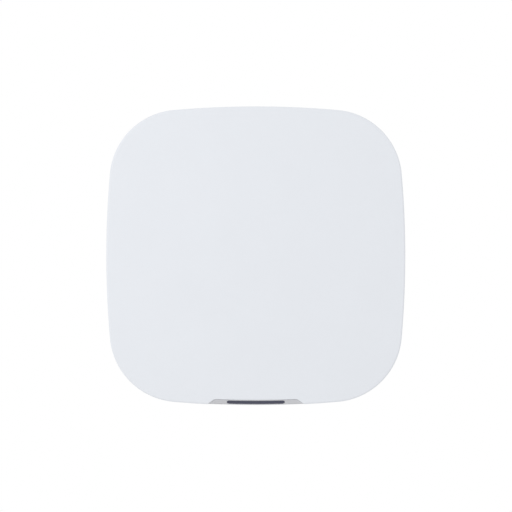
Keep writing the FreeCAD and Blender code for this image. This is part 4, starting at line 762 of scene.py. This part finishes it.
def screw(head, way, sizes, length, pitch, count=48):
    """One screw as one closed skin. head is the middle of the head's bearing face, as across, depth and
    height, and way points from the head to the tip. One parameter is the angle round it. The other goes
    over the head from its middle, down its rim, under it, and along the thread to the tip. The recess
    is a cross that gets shallower outwards, and the thread is a ridge that climbs with the angle."""
    shank_radius, head_radius, head_height = sizes
    angle = np.linspace(0, full_turn, count, endpoint=False)[None, :]
    rim_share, under_round = 0.88, 0.06
    top_radius = head_radius * rim_share
    radius = np.linspace(0, 1, 26)[:, None] * top_radius + 0 * angle
    a, b = np.abs(radius * np.cos(angle)), np.abs(radius * np.sin(angle))
    small, large = np.minimum(a, b), np.maximum(a, b)
    arm, reach = 0.19 * head_radius, 0.62 * head_radius
    inside = np.clip((arm - small) / (0.3 * arm), 0, 1) * np.clip((reach - large) / (0.2 * reach), 0, 1)
    sunk = 0.6 * head_height * inside * (1 - 0.6 * large / reach)
    top = -head_height * (1 - 0.12 * (radius / top_radius) ** 2) + sunk
    bend = np.linspace(0, quarter_turn, 5)[1:, None]
    rim_radius = top_radius + (head_radius - top_radius) * np.sin(bend) + 0 * angle
    rim = -head_height * rim_share + head_height * 0.3 * (1 - np.cos(bend)) + 0 * angle
    under_radius = column(head_radius, head_radius - under_round, shank_radius) + 0 * angle
    under = column(-under_round, 0.0, 0.0) + 0 * angle
    steps = int(length / pitch * 9)
    along = np.linspace(0.04, 1.0, steps)[:, None] * length + 0 * angle
    phase = (along / pitch - angle / full_turn) % 1.0
    ridge = np.clip(1 - np.abs(phase - 0.5) / 0.32, 0, 1)
    fade = np.clip(along / (0.12 * length), 0, 1) * np.clip((length - along) / (0.15 * length), 0, 1)
    core = shank_radius * 0.76
    taper = np.clip((length - along) / (0.12 * length), 0, 1)
    thread_radius = (core + (shank_radius - core) * ridge * fade) * (0.55 + 0.45 * taper)
    rows = np.concatenate([radius, rim_radius, under_radius, thread_radius, 0 * angle])
    heights = np.concatenate([top, rim, under, along, 0 * angle + length])
    way = unit(np.array(way, float))
    side = unit(np.cross(way, [0.0, 0.0, 1.0] if abs(way[2]) < 0.9 else [1.0, 0.0, 0.0]))
    other = np.cross(way, side)
    u, v = rows * np.cos(angle), rows * np.sin(angle)
    x, depth, z = (head[i] + way[i] * heights + side[i] * u + other[i] * v for i in range(3))
    return surface(x, depth, z)


def heads(way, across, depth, *heights):
    """Screws in rows: the place of each one's head, with the way to its tip."""
    return [((x, depth, z), way) for x in across for z in heights]


# Each screw's shank radius, head radius and head height, then its length and pitch.
large_screw = ((1.45, 2.7, 1.9), 16.0, 1.25)
medium_screw = ((1.15, 2.1, 1.3), 6.0, 0.9)
small_screw = ((0.8, 1.5, 0.9), 3.6, 0.7)
lock_screw = ((1.45, 2.9, 2.2), 10.0, 0.5)
to_room, to_wall, into_facet, upward = (0, 1, 0), (0, -1, 0), (0, 1, -1), (0, 0, 1)
screw_sets = {
    "case_screws": (heads(to_room, (-case_screw_x, case_screw_x), 5.9, -case_screw_z, case_screw_z),
                    large_screw),
    "board_screws": (heads(to_wall, (-56.6, 11.0, 21.3, 57.4), board_front, -17.7, 24.2), medium_screw),
    "clamp_screws": (heads(to_room, (-41.4, -26.6, 26.6, 41.4), 6.05, -52.5), medium_screw),
    "bay_screws": (heads(to_room, (-53.25, 53.25), 8.9, -30.0), medium_screw),
    "retainer_screws": (heads(to_wall, (-40.5, 40.5), 27.35, 50.65), medium_screw),
    "bezel_screws": (heads(to_room, (-ear_screw_x, ear_screw_x), 27.045, ear_screw_z)
                     + heads(into_facet, (-16.75, 16.75), lens_depth - slope * light_board_back,
                             lens_rise + slope * light_board_back - half_width), small_screw),
}
for node_name, (places, kind) in screw_sets.items():
    add_piece(node_name + "_set", [screw(head, way, *kind) for head, way in places], "screw_steel",
              node_name, sharp=38.0)
add_piece("locking_screw_threaded", [screw((0, lock_depth, -65.5), upward, *lock_screw, count=64)],
          "screw_steel", "locking_screw", body="locking_screw", sharp=38.0)


# What sits on the boards, seen when the cover is off.

ways = {"right": (0, 1), "left": (0, -1), "room": (1, 1), "wall": (1, -1), "up": (2, 1), "down": (2, -1)}


def layered(box, way, profile, corner=0.3, count=4):
    """A case worked out from one way: a rectangle with round corners that changes as it goes along.
    box is low and high across, in depth and in height. Each (inset, level) of the profile is one
    rectangle, so much smaller all round and so far from the foot. Both ends close at their middle."""
    axis, sign = ways[way]
    low, high = np.array(box[0::2], float), np.array(box[1::2], float)
    inset, level = (column(*values) for values in zip(*profile))
    radius = np.maximum(corner - inset, 0.02)
    turn = (np.linspace(0, quarter_turn, count) + np.arange(4)[:, None] * quarter_turn).ravel()
    sides = np.repeat([1, -1, -1, 1], count), np.repeat([1, 1, -1, -1], count)
    place = [None, None, None]
    for i, side, wave in zip([i for i in range(3) if i != axis], sides, (np.cos(turn), np.sin(turn))):
        away = side * ((high[i] - low[i]) / 2 - inset - radius) + radius * wave
        place[i] = (low[i] + high[i]) / 2 + np.concatenate([0 * away[:1], away, 0 * away[:1]])
    level = np.concatenate([level[:1], level, level[-1:]])
    place[axis] = (low[axis] if sign > 0 else high[axis]) + sign * level
    return surface(*place)


def on_board(x0, x1, z0, z1, profile, corner=0.3, foot=0.0, count=4):
    """A case that stands on the board's front, or so far above it, and grows towards the room."""
    return layered((x0, x1, board_front + foot, 0, z0, z1), "room", profile, corner, count)


def eased(height, edge=0.15):
    """The profile of a case with a small slope at its foot and a quarter circle at its far edge."""
    bend = np.linspace(0, quarter_turn, 4)
    return [(0.04, 0.0), (0.0, 0.04)] + [(edge * (1 - math.cos(t)), height - edge * (1 - math.sin(t)))
                                         for t in bend]


def can_profile(height):
    """A shield's profile: a fence, a lid that steps out over it, a turned edge and a pressed-in top."""
    step, step_up = 0.14, 0.4 * height
    lid = [point for point in eased(height, 0.35) if point[1] > 0.5]
    return [(step, 0.0), (step, step_up), (0.0, step_up + 0.03)] + lid + [(1.6, height), (1.8, height - 0.12)]


def strap(path, across, width, thick):
    """A flat strap along a path of places. Its section is a rectangle: wide along one fixed way, and
    thick at right angles to that and to the path."""
    path, across = np.array(path, float), np.array(across, float)
    up = unit(np.cross(np.gradient(path, axis=0), across))
    corner = np.array([[-1, -1], [1, -1], [1, 1], [-1, 1]]) / 2
    return swept(path, path[:, None] + corner[:, :1] * width * across + corner[:, 1:] * thick * up[:, None])


def leads_on(way, edge, first, last, level, pitch, width=0.3):
    """A row of bent leads that ends at an edge of its part. Each comes out level, bends down and lies
    flat on the board. The row runs from first to last, across to its way."""
    axis, sign = ways[way]
    out = edge - sign * np.array([0.8, 0.5, 0.38, 0.28, 0.2, 0.02])
    depth = board_front + np.array([level, level, level - 0.08, 0.14, 0.07, 0.06])
    count = int((last - first) / pitch + 1e-6) + 1
    rows = []
    for start in (first + last) / 2 + (np.arange(count) - (count - 1) / 2) * pitch:
        along = start + 0 * out
        route = [out, depth, along] if axis == 0 else [along, depth, out]
        rows.append(strap(np.stack(route, 1), (0, 0, 1) if axis == 0 else (1, 0, 0), width, 0.1))
    return rows


def onto_facet(shape):
    """A shape worked out flat and laid on the facet: its depth goes out from the facet, its height up."""
    points, faces = shape
    x, out, up = points[:, 0], -points[:, 1], points[:, 2]
    middle_z = (lens_rise - half_width) * mm
    turned = [x, -lens_depth * mm - slope * (up + out), middle_z + slope * (up - out)]
    return np.stack(turned, axis=-1), faces


def wire(route, radius, count=14):
    """A round wire along a smooth line that bends towards each inner point of its route: between the
    middles of its inner runs it is a parabola."""
    route = np.array(route, float)
    middle = (route[2:-1] + route[1:-2]) / 2
    starts = np.concatenate([route[:1], middle])[:, None]
    ends = np.concatenate([middle, route[-1:]])[:, None]
    t = np.linspace(0, 1, count, endpoint=False)[:, None]
    line = (1 - t) ** 2 * starts + 2 * t * (1 - t) * route[1:-1, None] + t ** 2 * ends
    line = np.concatenate([line.reshape(-1, 3), route[-1:]])
    run = np.gradient(line, axis=0)
    askew = [0.4, 0.5, 0.77]
    side = np.cross(run, askew)
    side, other = unit(side)[:, None], unit(np.cross(run, side))[:, None]
    angle = np.linspace(0, full_turn, 16, endpoint=False)[None, :, None]
    return swept(line, line[:, None] + radius * (np.cos(angle) * side + np.sin(angle) * other))


# Chips, as (across, height, size over the leads), and a long one with two leads on each side.
chips = [(-54.0, 3.5, 7.0), (-54.0, -4.5, 5.0), (-36.5, -16.5, 6.0), (43.0, 2.0, 6.0)]
bodies = [on_board(x - size / 2 + 0.65, x + size / 2 - 0.65, z - size / 2 + 0.65, z + size / 2 - 0.65,
                   [(0.12, 0.0), (0.0, 0.4), (0.0, 0.5), (0.12, 0.92)], 0.15, 0.08)
          for x, z, size in chips]
bodies.append(on_board(28.0, 38.0, -15.85, -13.15, [(0.2, 0.0), (0.0, 1.1), (0.0, 1.25), (0.25, 2.4)],
                       0.15, 0.2))
legs = leads_on("up", -12.5, 29.2, 36.8, 1.3, 2.53, 0.9)
legs += leads_on("down", -16.5, 29.2, 36.8, 1.3, 2.53, 0.9)
for x, z, size in chips:
    reach = size / 2
    inner = reach - 1.2
    for way, edge, along in (("right", x + reach, z), ("left", x - reach, z),
                             ("up", z + reach, x), ("down", z - reach, x)):
        legs += leads_on(way, edge, along - inner, along + inner, 0.5, 0.65)
add_piece("chip_bodies", bodies, "chip_black", "board_chips")

# Sockets for the link and the ribbon, with their rows of feet.
link_bodies = [on_board(x, x + 4.2, -8.0, 6.0, eased(1.9, 0.2)) for x in (10.0, 18.8)]
legs += leads_on("left", 9.4, -7.0, 5.0, 0.9, 1.0, 0.4) + leads_on("right", 23.6, -7.0, 5.0, 0.9, 1.0, 0.4)
add_piece("link_socket_pair", link_bodies, "connector_cream", "link_sockets")
film = on_board(14.3, 18.7, -7.0, 5.0, [(0.0, 0.0), (0.0, 0.1)], 0.2, 1.2)
wires = [strap([(x, 24.85, z) for x in (14.4, 16.5, 18.6)], (0, 0, 1), 0.6, 0.26)
         for z in np.arange(-6.5, 5.0, 1.0)]
add_piece("board_link_strip", [film] + wires, "ribbon_white", "board_link")
sockets = [on_board(-13.1, -6.9, -21.2, -17.3, eased(1.8, 0.2)),
           on_board(-13.5, -6.5, -20.9, -19.2, eased(0.7, 0.12), 0.25, 1.5)]
back = -light_board_back
sockets += [onto_facet(layered((-13.1, -6.9, 0, back, -1.6, 1.6), "wall", eased(1.2, 0.2))),
            onto_facet(layered((-13.5, -6.5, 0, back - 0.9, -0.2, 1.3), "wall", eased(0.6, 0.1)))]
legs += leads_on("up", -16.7, -12.25, -7.75, 0.5, 0.5, 0.22)
add_piece("ribbon_socket_pair", sockets, "connector_cream", "ribbon_sockets")

# The status light's packages: a moulded cup with a pool in its middle.
cup_profile = [(0.05, 0.0), (0.0, 0.05), (0.0, 0.66), (0.04, 0.7), (0.2, 0.7), (0.36, 0.45)]
cups = [layered((x - 1.0, x + 1.0, -light_face, 0, -0.8, 0.8), "room", cup_profile, 0.15)
        for x in np.arange(-11.5, 12.0, 4.6)]
add_piece("light_packages", [onto_facet(cup) for cup in cups], "led_package", "indicator_leds")

# Shields over the processor and the radio, and the radio module on its own small board.
add_piece("shield_pair", [on_board(-45.5, -23.5, -11.0, 7.0, can_profile(2.6), 1.0),
                          on_board(-43.0, -24.0, 16.5, 26.5, can_profile(2.2), 1.0)],
          "shield_metal", "shield_cans")
module_can = on_board(-16.9, 4.9, -11.4, 16.4, can_profile(1.62), 1.2, 0.78)
pads = [strap([(x, board_front + level, z) for level in (0.01, 0.4, 0.79)], (0, 0, 1), 0.9, 0.06)
        for x in (-17.46, 5.46) for z in np.arange(-10.0, 15.5, 1.6)]
add_piece("module_can", [module_can] + pads, "shield_metal", "cellular_module")
add_piece("module_board", [on_board(-17.44, 5.44, -12.0, 17.0, eased(0.8, 0.05), 0.2)], "board_laminate")

# The cells' plug in its header: a shroud, and a ribbed plug that stands out of it towards its leads.
header = layered((43.6, 51.0, board_front, board_front + 5.4, 19.0, 24.0), "up",
                 [(0.1, 0.0), (0.0, 0.1), (0.0, 4.85), (0.15, 5.0), (0.5, 5.0), (0.55, 4.5)], 0.4)
plug = layered((44.25, 50.35, board_front + 0.65, board_front + 4.75, 23.0, 25.9), "up",
               [(0.0, 0.0), (0.0, 2.6), (0.12, 2.85), (0.3, 2.9)])
ribs = [strap([(x, board_front + 4.85, z) for z in (24.1, 25.0, 25.75)], (1, 0, 0), 0.7, 0.4)
        for x in (45.2, 47.3, 49.4)]
add_piece("battery_plug_pair", [header, plug] + ribs, "connector_cream", "battery_plug")

# Leads from the cells to their plug, from the aerials to their sockets, and from the sounder.
entry = board_front + 2.7
for colour, x, depth, z in (("red", 45.2, 18.05, 60.15), ("black", 49.4, 20.45, 41.15)):
    route = [(34.3, depth, z), (x, depth, z), (x, depth, 38.0), (x, entry, 33.0), (x, entry, 25.5)]
    add_piece("battery_wire_" + colour, [wire(route, 0.7)], "lead_" + colour, "battery_lead_" + colour)
add_piece("aerial_wires", [
    wire([(-55.3, 25.4, 14.0), (-65.5, 25.4, 14.0), (-65.5, 13.4, 14.0), (-69.45, 13.4, 14.0)], 0.55),
    wire([(9.7, 27.6, 17.0), (24.0, 27.6, 17.0), (30.0, 27.6, 11.0), (65.5, 27.6, 11.0),
          (65.5, 13.4, 11.0), (69.45, 13.4, 11.0)], 0.55)], "lead_black", "aerial_leads")
nut = [(0.0, 0.0), (1.3, 0.0), (1.3, 0.5), (1.1, 0.6), (1.1, 0.9), (1.28, 1.0)]
add_piece("aerial_plugs", [lathe(nut + [(1.28, tall - 0.3), (1.1, tall), (0.6, tall), (0.5, tall - 0.15),
                                        (0.0, tall - 0.15)], x, board_front, z, 32)
                           for x, z, tall in ((-54.0, 14.0, 2.6), (8.4, 17.0, 4.8))],
          "plated_brass", "aerial_sockets")

# The sounder's back: a flange, a tapering basket, and a magnet with a vent in its middle. Its two wires
# leave a small block at its edge.
sounder_x, sounder_z, sounder_foot = 20.0, -42.5, 24.3
block_z, block_top = -31.6, sounder_foot + 2.3
back_profile = [(0.0, 0.0), (13.2, 0.0), (13.5, 0.25), (13.5, 1.2), (13.25, 1.4), (12.4, 1.4), (12.1, 1.5),
                (10.6, 2.5), (10.2, 2.6), (9.0, 2.6), (8.8, 2.7), (8.8, 4.2), (8.4, 4.55), (8.0, 4.6),
                (2.0, 4.6), (1.7, 4.5), (1.6, 4.2), (1.6, 3.6), (0.0, 3.6)]
add_piece("sounder_back", [
    lathe(back_profile, sounder_x, sounder_foot, sounder_z, 72),
    layered((16.5, 23.5, sounder_foot + 1.0, block_top, -33.2, -29.4), "room", eased(1.3, 0.1))],
          "connector_black", "sounder")
for colour, x, pad in (("red", 18.4, 5.6), ("black", 21.6, 8.0)):
    route = [(x, block_top + 0.2, block_z), (x, block_top + 1.6, -28.0),
             ((x + pad) / 2, block_top + 1.2, -24.0), (pad, block_top, -23.4),
             (pad, board_front + 0.3, -20.2)]
    add_piece("sounder_wire_" + colour, [wire(route, 0.45)], "lead_" + colour)

# Small parts with two metal ends, as (across, height, length, whether it stands upright).
small_parts = [(x, z, 1.6, upright) for x in np.arange(-43.0, -21.0, 2.9)
               for z, upright in ((9.2, False), (11.6, True), (14.3, False))]
for across, heights, length, upright in (
        (np.arange(-49.0, -40.5, 2.6), (-19.0, -15.6), 1.6, True),
        ((-30.0, -26.0, -22.0, -18.0), (-18.6, -15.4), 2.0, False),
        ((-3.0, 1.0, 5.0), (-19.0, -16.6, -14.2), 1.6, False),
        ((7.6, 9.8, 12.0), (9.0, 12.0), 1.6, True),
        ((26.5, 30.0, 33.5, 37.0), (-7.0, 1.5, 10.0), 3.2, True),
        ((50.0, 54.5, 58.5), (-12.0, -8.0, 10.0, 14.0), 2.0, False),
        ((-57.5, -54.0, -50.5), (17.2, 19.4), 1.6, False)):
    small_parts += [(x, z, length, upright) for x in across for z in heights]
middles, ends = [], []
for x, z, length, upright in small_parts:
    half, wide, tall, cap = length / 2, length * 0.26, length * 0.3, length * 0.18
    for low, high, grow, into in ((cap - half, half - cap, 0.0, middles), (-half, cap - half, 0.03, ends),
                                  (half - cap, half, 0.03, ends)):
        along, across = (low, high), (-wide - grow, wide + grow)
        (x0, x1), (z0, z1) = (across, along) if upright else (along, across)
        into.append(on_board(x + x0, x + x1, z + z0, z + z1, eased(tall + grow, 0.05), 0.05, count=2))
add_piece("small_part_bodies", middles, "chip_black")

# Solder on the board's front where the leads of the parts behind it come through.
joints = [(x, z) for x in (28.5, 35.0, 41.5) for z in (-2.4, 15.2)]
joints += [(x, -10.5) for x in (46.9, 50.5, 54.8, 58.4)]
joints += [(30.7, -19.6), (39.3, -19.6), (5.6, -20.4), (8.0, -20.4)]
cone = [(0.0, 0.0), (0.9, 0.0), (0.75, 0.1), (0.42, 0.35), (0.3, 0.6), (0.2, 0.72), (0.0, 0.75)]
solder = [lathe(cone, x, board_front, z, 16) for x, z in joints]
solder += [lathe(cone, x, sounder_foot + 2.28, block_z, 16) for x in (18.4, 21.6)]
add_piece("small_metal_parts", ends + legs + solder, "nickel_contact")


# Studio: a pale floor well below, a white room, soft lamps at the upper left and behind, and the camera
# straight in front.

sensor_width = 36.0
image_width = 279.15
view_distance = 1600.0
view_across, view_up = 0.11, -0.05


def add_camera():
    """The photograph's view: straight at the front, from far away. The image's width spans image_width
    at the depth where the panel is widest."""
    camera = bpy.data.cameras.new("front_view")
    camera.sensor_width = sensor_width
    camera.lens = sensor_width * (view_distance - widest_depth) / image_width
    camera.clip_start = 0.05
    holder = add_object("front_view", camera)
    holder.location = (view_across * mm, -view_distance * mm, view_up * mm)
    holder.rotation_euler = (quarter_turn, 0, 0)
    bpy.context.scene.camera = holder


def add_lamp(name, place, size, power):
    """A square soft lamp that faces the middle of the panel's back."""
    lamp = bpy.data.lights.new(name, "AREA")
    lamp.size = size
    lamp.energy = power
    holder = add_object(name, lamp)
    holder.location = place
    holder.rotation_euler = (-Vector(place)).to_track_quat("-Z", "Y").to_euler()


def seen_directly(tree):
    """One where a ray comes straight from the camera, or by gloss or glass, and nought otherwise."""
    rays = tree.nodes.new("ShaderNodeLightPath").outputs
    total = rays["Is Camera Ray"]
    for ray in ("Is Glossy Ray", "Is Transmission Ray"):
        total = add_node(tree, "ShaderNodeMath", {0: total, 1: rays[ray]}, operation="MAXIMUM")
    return total


def light_world(strength):
    """A white room: seen as plain white, and lighting the panel at the given strength."""
    world = bpy.data.worlds.new("room")
    bpy.context.scene.world = world
    world.use_nodes = True
    tree = world.node_tree
    tree.nodes.clear()
    lit, seen = (add_node(tree, "ShaderNodeBackground", {"Color": white, "Strength": level})
                 for level in (strength, 1.0))
    blend = add_node(tree, "ShaderNodeMixShader", {0: seen_directly(tree), 1: lit, 2: seen})
    add_node(tree, "ShaderNodeOutputWorld", {"Surface": blend})


def add_floor(level, radius, lift=0.28):
    """A pale round floor, as rings about its middle. It shows its own shade, with some white added where
    it is seen directly, and from below it is open to the view."""
    ring = np.linspace(0, full_turn, 96, endpoint=False)
    share = np.linspace(0, 1, 12)[:, None]
    mesh = mesh_of("floor", [surface(radius * share * np.cos(ring), radius * share * np.sin(ring), level)])
    if mesh.polygons[0].normal.z < 0:
        mesh.flip_normals()
    f = Finish("pale_floor")
    shade = f.spread(f.noise(1000.0 / 30.0), 0.80, 0.84, 0, 1)
    glow = f.maths("MULTIPLY", seen_directly(f.tree), lift)
    set_inputs(f.tree, f.shader, {"Base Color": shade, "Roughness": 0.9, "Specular IOR Level": 0.1,
                                  "Emission Color": white, "Emission Strength": glow})
    blend = f.node("MixShader", {0: f.node("NewGeometry", {}, "Backfacing"), 1: f.shader.outputs[0],
                                 2: f.node("BsdfTransparent", {})})
    set_inputs(f.tree, f.end, {"Surface": blend})
    mesh.materials.append(f.material)
    add_object("floor", mesh)


add_camera()
light_world(0.837)
add_lamp("key", (-0.85, -1.3, 0.45), 0.9, 5.5)
add_lamp("rear_fill", (0.9, 1.5, 0.9), 0.9, 5.0)
add_floor(-300.0, 1300.0)
bpy.context.scene.view_settings.view_transform = "Standard"

bpy.context.view_layer.update()
